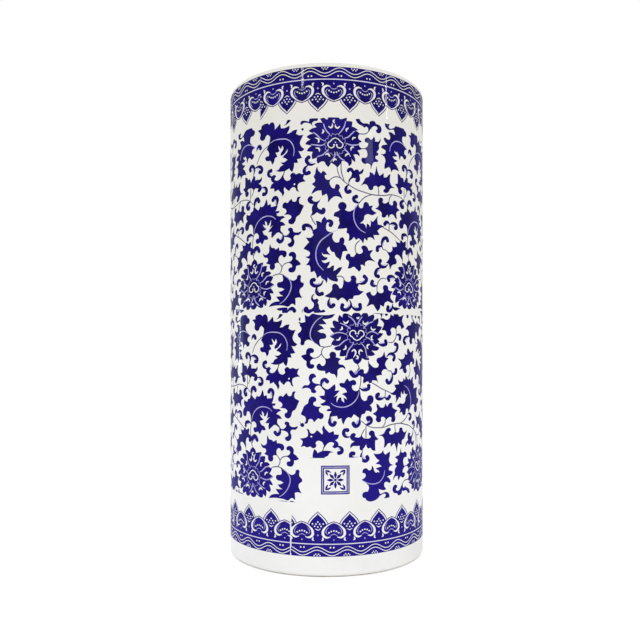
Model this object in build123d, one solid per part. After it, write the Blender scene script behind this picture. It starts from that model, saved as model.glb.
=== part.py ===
from build123d import *
import math
import os

# A straight porcelain cylinder that stands on its own foot and holds umbrellas.
# Millimetres, +Z up, origin on the ground at the middle of the foot, front towards -Y.
# Girth positions are arc lengths on the outer face, measured from the front centre line to the right.

# Wall
height = 468.0
outer_diameter = 200.0
wall_thickness = 9.0
lip_round = 3.5
foot_outer_round = 4.0
foot_inner_round = 1.5

# Floor slab, luted into the wall on a ledge inside the foot
floor_thickness = 12.0
foot_recess = 7.0
foot_ledge = 4.0
floor_clearance = 0.2

# Printed transfers, let flush into shallow seats in the wall's outer face over a bed of glaze
transfer_thickness = 0.3
transfer_bed = 0.15

# Lappet borders, the lower one standing on the foot band and the upper one hanging below the lip
border_width = 41.5
foot_band = 19.0
lip_band = 4.5
lower_border_joint = -34.0
upper_border_joint = -67.0
strips_per_border = 2

# Scrolling field, in two tiers of printed sheets, the upper ones trimmed below the upper border
lower_border_to_field = 6.0
field_to_upper_border = 4.5
lower_tier_height = 174.0
sheets_per_tier = 4
lower_tier_joint = -24.0
upper_tier_joint = -22.0

# Plain panel let into the lower tier at the front, starting at that tier's joint
panel_width = 57.0
panel_height = 42.0

outer_radius = outer_diameter / 2
bore_radius = outer_radius - wall_thickness
girth = math.pi * outer_diameter
front_angle = -90.0

lower_border_level = foot_band
upper_border_level = height - lip_band - border_width
lower_tier_level = lower_border_level + border_width + lower_border_to_field
upper_tier_level = lower_tier_level + lower_tier_height
field_top = upper_border_level - field_to_upper_border


def band_section(outside, depth, low, high):
    """The section of a band between two levels, as deep as given from its outside radius inwards."""
    return Pos(outside - depth / 2, (low + high) / 2) * Rectangle(depth, high - low)


def seat_section(low, high):
    """The section of a seat for transfers."""
    return band_section(outer_radius, transfer_thickness + transfer_bed, low, high)


def transfer(start, width, low, high):
    """A thin curved sheet from a girth position, as wide as its arc length, between two levels."""
    angle = math.degrees(width / outer_radius)
    turn = front_angle + math.degrees(start / outer_radius)
    section = band_section(outer_radius, transfer_thickness, low, high)
    return Rot(0, 0, turn) * revolve(Plane.XZ * section, Axis.Z, angle)


def cylinder_wall():
    """The open tube with its rounded lip, its ledged foot and the seats for the transfers."""
    section = band_section(outer_radius, wall_thickness, 0, height)
    section += band_section(outer_radius, wall_thickness + foot_ledge, 0, foot_recess)
    lip_corners = section.vertices().group_by(Axis.Y)[-1]
    section = fillet(lip_corners, lip_round)
    foot_corners = section.vertices().group_by(Axis.Y)[0].sort_by(Axis.X)
    section = fillet(foot_corners[-1], foot_outer_round)
    foot_corners = section.vertices().group_by(Axis.Y)[0].sort_by(Axis.X)
    section = fillet(foot_corners[0], foot_inner_round)
    section -= seat_section(lower_border_level, lower_border_level + border_width)
    section -= seat_section(lower_tier_level, field_top)
    section -= seat_section(upper_border_level, upper_border_level + border_width)
    return revolve(Plane.XZ * section, Axis.Z)


def floor_slab():
    """The round floor, which lies on the foot's ledge with the wall's bore all round it."""
    section = band_section(bore_radius - floor_clearance, bore_radius - floor_clearance, 0, floor_thickness)
    return Pos(0, 0, foot_recess) * revolve(Plane.XZ * section, Axis.Z)


def band_of_transfers(name, count, joint, low, high):
    """Equal transfers that meet end to end round the girth, numbered to the right from a joint."""
    width = girth / count
    band = {}
    for i in range(count):
        band[f"{name}_{i + 1}"] = transfer(joint + i * width, width, low, high)
    return band


def border(name, joint, level):
    """The strips of one border."""
    return band_of_transfers(name, strips_per_border, joint, level, level + border_width)


def tier(name, joint, low, high):
    """The sheets of one tier of the field."""
    return band_of_transfers(name, sheets_per_tier, joint, low, high)


panel = transfer(lower_tier_joint, panel_width, lower_tier_level, lower_tier_level + panel_height)

lower_sheets = tier("lower_sheet", lower_tier_joint, lower_tier_level, upper_tier_level)

pieces = {"cylinder_wall": cylinder_wall(), "floor_slab": floor_slab()}
pieces |= border("lower_border_strip", lower_border_joint, lower_border_level)
pieces |= {name: sheet - panel for name, sheet in lower_sheets.items()}
pieces["front_panel"] = panel
pieces |= tier("upper_sheet", upper_tier_joint, upper_tier_level, field_top)
pieces |= border("upper_border_strip", upper_border_joint, upper_border_level)

os.makedirs("parts", exist_ok=True)
for name, piece in pieces.items():
    export_step(piece, f"parts/{name}.step")
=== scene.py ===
import math

import bpy
import numpy as np
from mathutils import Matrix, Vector
from mathutils.geometry import delaunay_2d_cdt


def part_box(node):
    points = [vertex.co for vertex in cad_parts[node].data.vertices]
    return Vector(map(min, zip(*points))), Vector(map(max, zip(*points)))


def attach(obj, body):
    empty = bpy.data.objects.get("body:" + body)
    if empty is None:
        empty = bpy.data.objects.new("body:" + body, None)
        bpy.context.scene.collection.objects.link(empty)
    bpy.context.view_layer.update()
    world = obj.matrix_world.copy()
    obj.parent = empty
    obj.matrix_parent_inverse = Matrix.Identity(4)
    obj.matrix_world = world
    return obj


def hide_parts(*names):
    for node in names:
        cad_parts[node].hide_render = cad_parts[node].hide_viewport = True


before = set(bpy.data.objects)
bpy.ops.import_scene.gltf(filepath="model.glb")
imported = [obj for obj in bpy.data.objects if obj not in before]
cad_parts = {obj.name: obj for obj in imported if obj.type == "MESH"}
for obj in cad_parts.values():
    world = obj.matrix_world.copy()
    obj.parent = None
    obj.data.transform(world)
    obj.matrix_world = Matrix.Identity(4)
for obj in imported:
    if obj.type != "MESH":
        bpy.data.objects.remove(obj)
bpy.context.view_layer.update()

# A blue-and-white porcelain umbrella stand: a straight cylinder with cobalt transfers under its glaze.
# Blender works in metres. Sizes, levels and print places here are millimetres, made metres at the end.
# A place on the outer face is its arc length from the front centre line, to the right, and its height.
# The ground, the lamps and the camera are placed in metres.

MM = 0.001


def levels(node):
    """The lowest and highest level of a CAD node."""
    low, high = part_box(node)
    return low.z / MM, high.z / MM


def reach(node):
    """How far a CAD node reaches from the axis."""
    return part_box(node)[1].x / MM


# Wall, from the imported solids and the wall's own sizes
OUTER_RADIUS = reach("cylinder_wall")
HEIGHT = levels("cylinder_wall")[1]
WALL_THICKNESS = 9.0
BORE_RADIUS = OUTER_RADIUS - WALL_THICKNESS
LIP_ROUND = 3.5
FOOT_OUTER_ROUND = 4.0
FOOT_INNER_ROUND = 1.5
FOOT_LEDGE = 4.0
SEAT_DEPTH = 0.45
TRANSFER_THICKNESS = 0.3
TRANSFER_BACK = OUTER_RADIUS - TRANSFER_THICKNESS
GIRTH = 2 * math.pi * OUTER_RADIUS

# Floor slab
FLOOR_RADIUS = reach("floor_slab")
FLOOR_BOTTOM, FLOOR_TOP = levels("floor_slab")

# Levels and joints of the printed transfers
LOWER_BORDER = levels("lower_border_strip_1")
LOWER_TIER = levels("lower_sheet_4")
UPPER_TIER = levels("upper_sheet_1")
UPPER_BORDER = levels("upper_border_strip_1")
PANEL_TOP = levels("front_panel")[1]
PANEL_WIDTH = 57.0
LOWER_BORDER_JOINT = -34.0
UPPER_BORDER_JOINT = -67.0
LOWER_TIER_JOINT = -24.0
UPPER_TIER_JOINT = -22.0
SHEETS = 4
SHEET_WIDTH = GIRTH / SHEETS
STRIP_LENGTH = GIRTH / 2

# Mesh fineness: steps round the axis, round a large and a small edge and up the wall, the angle that
# stays sharp, the pitch of the points on a printed face and on its back, and how far they stay from the rim
TURN_STEPS = 320
ROUND_STEPS = 12
SMALL_ROUND_STEPS = 6
WALL_STEP = 30.0
SHARP_EDGE = 35.0
GRID = 3.9
BACK_GRID = 7.8
EDGE_CLEAR = 0.8

# How close corners merge, how near the rim a sliver is dropped, and how near it a corner is put onto it
MERGE = 0.00002
SLIVER = 0.002
SNAP = 0.02

# The corners of a square about its middle
CORNERS = ((-1, -1), (1, -1), (1, 1), (-1, 1))


# Shader sums

class Sum:
    """A node's output that takes part in Python sums, each of which adds a Math node."""

    def __init__(self, nodes, out):
        self.nodes = nodes
        self.out = out

    def math(self, operation, first, second):
        return self.nodes.add("ShaderNodeMath", {"operation": operation}, {0: first, 1: second})

    def __add__(self, other):
        return self.math("ADD", self, other)

    def __radd__(self, other):
        return self.math("ADD", other, self)

    def __sub__(self, other):
        return self.math("SUBTRACT", self, other)

    def __rsub__(self, other):
        return self.math("SUBTRACT", other, self)

    def __mul__(self, other):
        return self.math("MULTIPLY", self, other)

    def __rmul__(self, other):
        return self.math("MULTIPLY", other, self)

    def atleast(self, other):
        return self.math("MAXIMUM", self, other)

    def ease(self, low, high):
        """0 below one value, 1 above the other and smooth between them."""
        inputs = {"Value": self, "From Min": low, "From Max": high}
        return self.nodes.add("ShaderNodeMapRange", {"interpolation_type": "SMOOTHSTEP"}, inputs)


class Nodes:
    """A node tree that is filled node by node."""

    def __init__(self, owner):
        owner.use_nodes = True
        self.tree = owner.node_tree
        self.tree.nodes.clear()

    def add(self, kind, settings=None, inputs=None, output=0):
        """Adds a node of a type. Its settings are set first, then the values or links of its sockets."""
        node = self.tree.nodes.new(kind)
        for name, value in (settings or {}).items():
            setattr(node, name, value)
        for name, value in (inputs or {}).items():
            socket = node.inputs[name]
            if isinstance(value, Sum):
                self.tree.links.new(value.out, socket)
            else:
                socket.default_value = value
        return Sum(self, node.outputs[output]) if len(node.outputs) else node

    def mix(self, mask, first, second):
        """The first colour where the mask is 0 and the second where it is 1."""
        return self.add("ShaderNodeMix", {"data_type": "RGBA"}, {0: mask, 6: first, 7: second}, output=2)

    def place(self):
        """The place on the object, in metres."""
        return self.add("ShaderNodeTexCoord", output=3)

    def height(self):
        """The height above the ground, in metres."""
        return self.add("ShaderNodeSeparateXYZ", None, {0: self.place()}, output=2)

    def noise(self, scale, detail=3.0, roughness=0.55):
        """Cloudy noise from 0 to 1, with so many clouds to a metre."""
        inputs = {"Vector": self.place(), "Scale": scale, "Detail": detail, "Roughness": roughness}
        return self.add("ShaderNodeTexNoise", None, inputs)

    def specks(self, scale, size):
        """A mask of small round specks, with so many cells to a metre and a speck in the middle of each."""
        cells = self.add("ShaderNodeTexVoronoi", None, {"Vector": self.place(), "Scale": scale})
        return 1 - cells.ease(size * 0.6, size)


def colour(text):
    """A linear colour from its usual hexadecimal form."""
    channels = [int(text[i:i + 2], 16) / 255 for i in (0, 2, 4)]
    return (*[c / 12.92 if c <= 0.04045 else ((c + 0.055) / 1.055) ** 2.4 for c in channels], 1.0)


# Materials

# Glaze: its weight where it is thin and thick, the share lost where it is seen edge on, and its roughness
THIN_GLAZE = 0.055
THICK_GLAZE = 0.10
EDGE_LOSS = 0.8
GLAZE_ROUGHNESS = 0.05
BODY_SPECULAR = 0.015


def glazed(name, tint):
    """A clear glossy glaze, thicker in some places, over a fine-grained body of the function's tint."""
    material = bpy.data.materials.new(name)
    nodes = Nodes(material)
    grain = nodes.noise(210.0, 3.0)
    normal = nodes.add("ShaderNodeBump", None, {"Strength": 0.25, "Distance": 0.0006, "Height": grain})
    glaze = THIN_GLAZE + (THICK_GLAZE - THIN_GLAZE) * nodes.noise(38.0, 3.0).ease(0.32, 0.68)
    edge = nodes.add("ShaderNodeLayerWeight", None, {"Blend": 0.5}, output=1)
    glaze = glaze * (1 - EDGE_LOSS * edge.ease(0.45, 0.9))
    surface = nodes.add(
        "ShaderNodeBsdfPrincipled",
        None,
        {
            "Base Color": tint(nodes),
            "Roughness": 0.24 + nodes.noise(55.0, 3.0) * 0.12,
            "Specular IOR Level": BODY_SPECULAR,
            "Coat Weight": glaze,
            "Coat Roughness": GLAZE_ROUGHNESS,
            "Normal": normal,
        },
    )
    nodes.add("ShaderNodeOutputMaterial", None, {"Surface": surface})
    return material


def porcelain_tint(nodes):
    """Creamy white with painted shade that greys it towards the lip, faint clouds and a few dark specks."""
    # Painted shade: the white darkens with height, standing in for the upper wall being less lit than the
    # lower
    rise = nodes.height().ease(0.02, 0.46)
    white = nodes.mix(rise, colour("F6F6F5"), colour("DEDCD6"))
    clouds = nodes.noise(14.0, 4.0).ease(0.35, 0.75)
    white = nodes.mix(clouds * 0.5, white, colour("E6E5E1"))
    spots = nodes.specks(95.0, 0.045) * nodes.noise(31.0).ease(0.58, 0.66)
    return nodes.mix(spots * 0.55, white, colour("8A8172"))


def cobalt_tint(nodes):
    """Deep blue, uneven where the colour pooled or thinned, with painted light that makes it paler and more
    violet low on the stand.
    """
    pooled = nodes.noise(85.0, 5.0, 0.65).ease(0.3, 0.72)
    blue = nodes.mix(pooled, colour("0D044C"), colour("15086E"))
    thin = nodes.noise(24.0, 3.0).ease(0.5, 0.8) * 0.35
    blue = nodes.mix(thin, blue, colour("2A1A9C"))
    # Painted light: the blue is made paler and more violet low on the stand, where the wall is more
    # brightly lit
    low = 1 - nodes.height().ease(0.01, 0.24)
    blue = nodes.mix(low * 0.5, blue, colour("2E229C"))
    grain = nodes.noise(900.0, 2.0).ease(0.62, 0.78) * 0.25
    return nodes.mix(grain, blue, colour("4A40A8"))


def pale_tint(nodes):
    """A thin wash of the same blue."""
    wash = nodes.noise(160.0, 4.0).ease(0.3, 0.7)
    return nodes.mix(wash, colour("9C9AD0"), colour("B9B6E0"))


def stem_tint(nodes):
    """A thin greyed blue line."""
    wash = nodes.noise(160.0, 4.0).ease(0.3, 0.7)
    return nodes.mix(wash, colour("3C3C5A"), colour("56587E"))


def biscuit(name):
    """Bare fired clay, where the foot was wiped clean of glaze."""
    material = bpy.data.materials.new(name)
    nodes = Nodes(material)
    grit = nodes.noise(1400.0, 4.0)
    stain = nodes.noise(60.0, 3.0).ease(0.35, 0.7)
    clay = nodes.mix(stain, colour("B9B2A2"), colour("8E8676"))
    clay = nodes.mix(grit.ease(0.5, 0.7) * 0.4, clay, colour("6E6759"))
    normal = nodes.add("ShaderNodeBump", None, {"Strength": 0.4, "Distance": 0.0003, "Height": grit})
    inputs = {"Base Color": clay, "Roughness": 0.75 + grit * 0.15, "Normal": normal}
    surface = nodes.add("ShaderNodeBsdfPrincipled", None, inputs)
    nodes.add("ShaderNodeOutputMaterial", None, {"Surface": surface})
    return material


PORCELAIN = glazed("white_glaze", porcelain_tint)
COBALT = glazed("cobalt_print", cobalt_tint)
PALE = glazed("pale_print", pale_tint)
STEM = glazed("stem_print", stem_tint)
BISCUIT = biscuit("biscuit_foot")

# Inks of the print, by their place among a printed piece's materials
BARE, BLUE, WASH, LINE = 0, 1, 2, 3
INKS = [PORCELAIN, COBALT, PALE, STEM]


# Brush marks, each an ink and the outline it fills

# The length of a step along a line, the turn that stays a corner, and the narrowest end that is rounded
STEP = 0.9
SHARP_TURN = 68.0
BLUNT = 0.5


def unit(x, y):
    """The direction of a step."""
    size = math.hypot(x, y) or 1.0
    return x / size, y / size


def turn_between(a, b):
    """The turn from one direction to another, in degrees."""
    return math.degrees(abs(math.atan2(a[0] * b[1] - a[1] * b[0], a[0] * b[0] + a[1] * b[1])))


def smooth(points, closed=False, sharp=SHARP_TURN, swell=0.0, step=STEP):
    """A curved line through the points.

    A strong turn stays a corner, and a leg between corners swells outwards.
    """
    count = len(points)
    legs = [(points[i], points[(i + 1) % count]) for i in range(count if closed else count - 1)]
    lengths = [math.dist(p, q) or 1e-6 for p, q in legs]
    units = [unit(q[0] - p[0], q[1] - p[1]) for p, q in legs]
    headings = []
    for i in range(count):
        end = not closed and i in (0, count - 1)
        if end or turn_between(units[i - 1], units[i % len(units)]) > sharp:
            headings.append(None)
            continue
        a, b = units[i - 1], units[i]
        headings.append(unit(*(a[j] * lengths[i] + b[j] * lengths[i - 1] for j in (0, 1))))
    area = sum(p[0] * q[1] - q[0] * p[1] for p, q in legs)
    lean = swell if area > 0 else -swell
    c, s = math.cos(lean), math.sin(lean)
    line = []
    for i, (p, q) in enumerate(legs):
        x, y = units[i]
        start = headings[i] or (x * c + y * s, y * c - x * s)
        end = headings[(i + 1) % count] or (x * c - y * s, y * c + x * s)
        parts = math.ceil(lengths[i] / step)
        for k in range(parts):
            t = k / parts
            # Weights of a cubic curve's two ends and two headings
            near, far = (1 + 2 * t) * (1 - t) ** 2, (3 - 2 * t) * t**2
            leave, arrive = t * (1 - t) ** 2 * lengths[i], (t - 1) * t**2 * lengths[i]
            line.append(tuple(
                near * p[j] + far * q[j] + leave * start[j] + arrive * end[j] for j in (0, 1)
            ))
    return line if closed else line + [points[-1]]


def width_at(share, widths):
    """The width at a share of the way along evenly spaced widths."""
    place = share * (len(widths) - 1)
    i = min(int(place), len(widths) - 2)
    return widths[i] + (widths[i + 1] - widths[i]) * (place - i)


def brush(points, widths, aside=0.0, start=0.0, stop=1.0, step=STEP):
    """The outline of a stroke along a curved line, its widths evenly spaced, its blunt ends rounded."""
    line = smooth(points, sharp=180.0, step=step)
    runs = [0.0]
    for p, q in zip(line, line[1:]):
        runs.append(runs[-1] + math.dist(p, q))
    shares = [run / runs[-1] for run in runs]
    left, right = [], []
    for i, (p, share) in enumerate(zip(line, shares)):
        if not start <= share <= stop:
            continue
        a, b = line[max(i - 1, 0)], line[min(i + 1, len(line) - 1)]
        x, y = unit(a[1] - b[1], b[0] - a[0])
        half = width_at((share - start) / (stop - start), widths) / 2
        left.append((p[0] + x * (aside + half), p[1] + y * (aside + half)))
        right.append((p[0] + x * (aside - half), p[1] + y * (aside - half)))
    return left + round_end(left[-1], right[-1]) + right[::-1] + round_end(right[0], left[0])


def round_end(p, q):
    """The points of a half circle that closes a blunt stroke from one side to the other."""
    x, y = (p[0] + q[0]) / 2, (p[1] + q[1]) / 2
    across, up = p[0] - x, p[1] - y
    if math.hypot(across, up) * 2 < BLUNT:
        return []
    points = []
    for angle in (45, 90, 135):
        c, s = math.cos(math.radians(angle)), math.sin(math.radians(angle))
        points.append((x + across * c + up * s, y + up * c - across * s))
    return points


# How many points a spot has at least, and for each millimetre of its radius
SPOT_LEAST = 9
SPOT_POINTS = 7


def spot(x, y, radius):
    """A round spot."""
    count = max(SPOT_LEAST, round(radius * SPOT_POINTS))
    turns = [2 * math.pi * k / count for k in range(count)]
    return [(x + radius * math.cos(a), y + radius * math.sin(a)) for a in turns]


# Widths along a curl and its wash, from tail to bulb, how far the wash lies aside, and the bulb's radius
CURL_THICK = 3.4
CURL_WIDTHS = [0.9, 0.62 * CURL_THICK, 0.9 * CURL_THICK, 1.04 * CURL_THICK, CURL_THICK]
CURL_WASH_WIDTHS = [0.2, 1.0, 1.0, 0.2]
CURL_WASH_ASIDE = 0.5 * CURL_THICK + 0.2
CURL_BULB = 1.95


def curl(points):
    """A curl that swells from a thin tail to a round bulb, with a pale wash along its hollow side."""
    a, b, c = points[-3:]
    hollow = 1 if (b[0] - a[0]) * (c[1] - b[1]) > (b[1] - a[1]) * (c[0] - b[0]) else -1
    wash = brush(points, CURL_WASH_WIDTHS, aside=hollow * CURL_WASH_ASIDE, start=0.1, stop=0.7)
    return [(WASH, wash), (BLUE, brush(points, CURL_WIDTHS)), (BLUE, spot(*points[-1], CURL_BULB))]


def moved(marks, across=0.0, up=0.0, turned=False):
    """Marks shifted across and up, after half a turn about the origin if they are turned."""
    way = -1 if turned else 1
    return [(ink, [(way * x + across, way * y + up) for x, y in outline]) for ink, outline in marks]


# The scroll of one printed sheet, in millimetres on the unrolled upper tier, across and up

SCROLL_REPEAT = 167.5

# Leaves and sprigs of the sheet's right half, round their edges and their antler-shaped openings
RIGHT_LEAVES = {
    "fern_6": [
        (-1.8, 325.9), (-0.1, 323.5), (-0.4, 317.4), (-0.2, 314.2), (2.7, 312), (5.4, 312.2), (6, 310.4),
        (5.2, 308.2), (5.4, 306), (6.6, 303.8), (8.8, 302.4), (11.4, 302.9), (11.6, 304.9), (12.7, 306.8),
        (14.3, 307.4), (16, 306), (16.3, 303.2), (15.4, 301), (17.1, 299.9), (18.2, 297.7), (19.3, 294.9),
        (14.9, 294.1), (14.1, 291), (12.4, 285.7), (11, 287.9), (8.8, 289.3), (7.7, 291.3), (6.8, 293.5),
        (5.2, 293.8), (3.2, 296), (2.6, 298.8), (0.7, 297.1), (0.4, 295.2), (1.8, 293.2), (3.5, 291),
        (-0.1, 291.6), (-2.6, 291.6), (-4.6, 293.5), (-3.2, 290.4), (-1.2, 289.1), (0.7, 289.1),
        (0.7, 287.9), (-1.5, 286.2), (-4.6, 286), (-3.4, 284.6), (-1.2, 283.8), (1, 284.6), (3.2, 285.3),
        (2.1, 282.1), (0.3, 279.3), (2.7, 279.6), (4.9, 281.3), (6.8, 281.8), (6.3, 276.6), (8.7, 277.9),
        (11.4, 279.9), (14.3, 280.2), (12.5, 276.5), (9.1, 271.3), (10.4, 268.8), (9.9, 266.8),
        (6, 267.4), (2.7, 268.8), (1, 270.7), (0.8, 268.2), (0, 265.2), (-1.2, 267.7), (-4.6, 270.2),
        (-5.7, 272.4), (-9, 269.9), (-9.3, 272.7), (-11.2, 276.6), (-14.6, 275.4), (-14.8, 278.2),
        (-15.7, 281.6), (-18.9, 282.1), (-16.8, 284.6), (-15.4, 287.5), (-19.5, 289.6), (-15.9, 290.7),
        (-15.4, 293.5), (-17.9, 295.4), (-21.2, 296.9), (-18.4, 300.5), (-16, 302.9), (-19, 307.2),
        (-14.5, 307), (-11.9, 309.3), (-12.9, 311.6), (-12, 313.8), (-9.2, 315.6), (-9, 317.4),
        (-9.8, 322.1), (-6.8, 321.6), (-4.8, 320.4), (-4.3, 322.9)],
    "fern_7": [
        (10.2, 330.9), (7.1, 329.3), (6.4, 326.4), (9.3, 325.5), (11.3, 324.7), (11.1, 322.4),
        (11.8, 320), (10.6, 317.1), (10, 314.8), (12.6, 314.9), (18.4, 315.8), (18.6, 313.8),
        (17.9, 311.8), (20.3, 310.2), (20.6, 307), (20.1, 303.9), (22.8, 305.2), (25.2, 307.8),
        (27.2, 305.3), (29.6, 307), (32.4, 304.8), (34.1, 302.3), (35.4, 307.4), (38.1, 305), (38.8, 308),
        (42, 308.4), (46, 306.3), (44.6, 310.7), (48.4, 311), (51.2, 311.3), (48.8, 315.1), (52.2, 317.9),
        (56.4, 319.5), (51.6, 320.9), (49.4, 320.9), (48.8, 326), (49.5, 328.8), (45.4, 324.4),
        (43.9, 322.9), (41.6, 324), (41.8, 321), (41.2, 317.8), (39.6, 320.2), (38, 320.9), (37, 316.5),
        (36, 319.5), (34.8, 320.5), (31, 320.6), (33.4, 322.5), (35, 324.6), (35.4, 327.4), (38, 329.4),
        (43.4, 328.9), (48.1, 331.6), (44.6, 333), (42.8, 334.8), (44.1, 337.9), (40.2, 337.2),
        (39.6, 339.2), (37.4, 340.7), (35.2, 340), (34.2, 337.6), (33.6, 335.2), (31.4, 334.4),
        (29.8, 336.2), (29.8, 338.6), (27.2, 335.2), (24.6, 332.8), (19.9, 331), (16.9, 332.2),
        (13.4, 332.6)],
    "fern_2": [
        (71.3, 416), (82.8, 416), (83.9, 414.4), (85.7, 413.8), (86.9, 411.6), (85.7, 409.1),
        (83.6, 408.4), (81.6, 408.4), (80.4, 406.6), (80.4, 403.5), (82.2, 401.4), (87.8, 397.1),
        (84.8, 395.9), (83.4, 393.4), (84.6, 391.5), (86.6, 391.2), (86.6, 389.1), (84.8, 387.1),
        (82.3, 387.1), (80.4, 388.8), (78.4, 388.8), (76.7, 384.7), (75.2, 387.4), (74.8, 389.4),
        (72.6, 391.9), (70.7, 390.9), (69.3, 392.3), (69.4, 390.6), (71.3, 389.1), (73.1, 387.9),
        (70.7, 387.1), (66.6, 386.5), (68.4, 384.8), (73.3, 383.6), (68.9, 380.9), (71.9, 378.8),
        (75.4, 373.8), (72.5, 374.4), (66.6, 373.5), (64.8, 371.3), (63.9, 374.1), (62.2, 375.9),
        (56.6, 373.2), (56.9, 377.6), (57.8, 381.2), (56.9, 383.8), (52.5, 386.5), (55.4, 386.8),
        (57.6, 388.2), (58.1, 390.6), (52.8, 392.6), (54.2, 394.7), (57.8, 395.9), (60.1, 396.6),
        (57.2, 398.6), (55.7, 401.6), (57.4, 402.6), (60.1, 401.4), (63.1, 401.8), (63.6, 403.7),
        (61.3, 408.2), (64.4, 408.7), (69.6, 407), (69.2, 409.4), (68.3, 411.6), (69, 414)],
    "maple_1": [
        (-8.6, 371.3), (-7.4, 367.6), (-4.9, 365), (-4.1, 366.7), (-2.4, 367.2), (-1, 365.8),
        (0.4, 363.6), (-1.5, 363.6), (-1.5, 361.6), (0.2, 359.4), (3.6, 359.5), (2.7, 356.6),
        (3.8, 353.8), (5.4, 351.8), (7.3, 351.5), (7.8, 353.9), (8.9, 355.6), (11, 355), (12.3, 352.4),
        (11.2, 349.9), (12.8, 346.8), (14.6, 341.9), (11.2, 343.9), (7.4, 344.2), (4.4, 342.2),
        (1.2, 338.5), (1.1, 343.3), (0, 346.6), (-4.1, 344.6), (-4.8, 349.6), (-8.2, 349.3),
        (-13.8, 346.4), (-12.5, 349.8), (-10.2, 352.8), (-13.5, 355.7), (-11, 357.5), (-10.4, 359),
        (-11.7, 362), (-10.5, 365), (-9.8, 368.6)],
    "maple_2": [
        (21.9, 290.2), (21.6, 292), (19.7, 292.6), (17.7, 290.9), (17.5, 287.9), (20.3, 285.3),
        (20.1, 282), (19.2, 279.1), (21.9, 279.1), (24.8, 280.7), (28, 278.3), (30.1, 276.4),
        (32.1, 278.8), (31.6, 282.6), (33.6, 282.8), (36, 281.4), (36.3, 285), (40.4, 287.2),
        (46.6, 286.2), (42.2, 290), (41.3, 291.8), (44.2, 297), (39.5, 296.2), (38.2, 299.2), (36, 300.6),
        (33.3, 300.2), (32, 298.3), (33.3, 296.6), (33.6, 294.6), (31.4, 292.9), (29.2, 292.9),
        (27.6, 294.2), (26.2, 291.4), (24.2, 289.8)],
    "maple_3": [
        (9.6, 264.4), (7.4, 265.2), (5.2, 263.6), (4.8, 259.2), (2.5, 256.6), (-2, 253.8), (3.4, 252.1),
        (7.8, 251.9), (10.3, 249.6), (14.2, 252.3), (17.4, 250.2), (18.9, 247.9), (20.9, 251.2),
        (24.2, 251.6), (25, 253.8), (30.1, 255), (34.7, 258.6), (30.7, 259.4), (28.8, 262.2), (30, 264.4),
        (27.6, 266), (27.5, 270.4), (25.6, 272.7), (23.2, 272.6), (21.9, 270.9), (22.4, 268.8),
        (20.6, 267), (18.1, 267.3), (15.9, 268.9), (14.9, 264.2), (13.8, 261.2), (11.8, 260.8)],
    "maple_4": [
        (36.6, 256.6), (39, 257.8), (41.4, 258.8), (42.4, 256.2), (44.8, 255.2), (47.2, 256.7),
        (48.5, 259.4), (51.6, 257.8), (54.2, 257.9), (55.8, 260), (54.8, 262.6), (55.6, 264.6),
        (58.2, 265.5), (60.8, 264.2), (61.6, 261.2), (66.7, 260), (64.8, 256.9), (64, 254.6),
        (68.5, 249.5), (65.4, 249), (60.3, 250.3), (57, 248.4), (56, 245.1), (52, 246.8), (51.8, 243.8),
        (48.9, 240.7), (46.4, 243.8), (44.6, 246.4), (37.4, 244.8), (39.2, 248.2), (39.9, 250.8),
        (38, 254)],
    "maple_5": [
        (45.1, 401.8), (46.4, 399.2), (46.3, 397.3), (49.5, 397.4), (52.7, 400.9), (51.9, 397.1),
        (50.5, 394.6), (50.7, 391.2), (47.9, 387.7), (50.1, 386.2), (48.9, 384.4), (46.9, 384),
        (46.6, 381.7), (50.2, 379.7), (47.8, 378.2), (45.7, 378.2), (43.7, 376), (41.8, 370.9),
        (40.8, 375.4), (38.4, 376), (35.8, 375.2), (33.4, 376.4), (32.2, 378.8), (33.4, 380.9),
        (35.8, 380.8), (38, 382.6), (38.1, 385.9), (37, 388.4), (35.6, 389.4), (37.4, 390.8),
        (38.8, 392.6), (39.4, 394.8), (37.6, 395), (35.7, 396), (35.8, 398), (37.6, 399.6), (40, 399.6),
        (41.9, 398), (43.6, 399.2)],
    "maple_6": [
        (47.8, 374.8), (48.7, 371), (50.9, 366.1), (53, 367.2), (55.6, 369.4), (56.1, 365.4), (59.5, 366),
        (61.4, 368.2), (64, 369.5), (63.4, 365.4), (63.7, 361.6), (65.6, 358.7), (69.6, 357.5),
        (63.8, 355.7), (62, 352.9), (60.2, 351.5), (57.4, 351.1), (55.4, 352.2), (55.8, 353.9),
        (57.4, 355), (57.3, 356.5), (54.8, 357.5), (52.2, 356.9), (50.2, 355.4), (47.4, 356.3),
        (44.8, 355.4), (44.2, 353), (42, 351.8), (39.7, 352.6), (39, 354.9), (36.2, 356.8), (31.9, 355),
        (34.4, 358.9), (36.8, 362.8), (39.8, 364), (40.8, 368.4), (43, 368), (45.4, 366), (46.6, 369.4)],
    "maple_7": [
        (73.4, 371.6), (77.2, 370.4), (78.6, 368.6), (80.6, 369), (82.2, 367.6), (83, 365), (84.4, 367.4),
        (86, 369.2), (87.4, 370.4), (88.8, 370), (89.4, 366.2), (92.6, 366.3), (96.2, 366.4), (98, 368.4),
        (98.2, 365), (96.6, 363.2), (94.4, 362), (97, 360.8), (98.5, 358.2), (97.4, 355.2), (95, 354.2),
        (93, 355.2), (93.2, 356.6), (94.2, 357.6), (91.8, 358.4), (89.4, 358.2), (87.4, 355.6),
        (86.4, 358.2), (84.4, 359.5), (81.2, 359.8), (78.8, 359.2), (78, 357.6), (79.8, 356.8),
        (80.2, 354.9), (78.8, 353), (76.6, 352.6), (74.4, 354.2), (73.8, 357), (70, 361), (73.4, 362),
        (73.6, 365)],
    "maple_8": [
        (46.4, 335.3), (49, 337), (50.3, 339), (49.6, 342.4), (50.2, 345), (52.6, 346.2), (55, 345.3),
        (55.2, 343.6), (54.4, 342.4), (55.8, 341.3), (58.4, 341.6), (61.4, 343.6), (63, 341.6),
        (65.2, 340.5), (67.2, 341.6), (67, 343.8), (69.2, 345.5), (71.6, 344.9), (73, 342.4),
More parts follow.
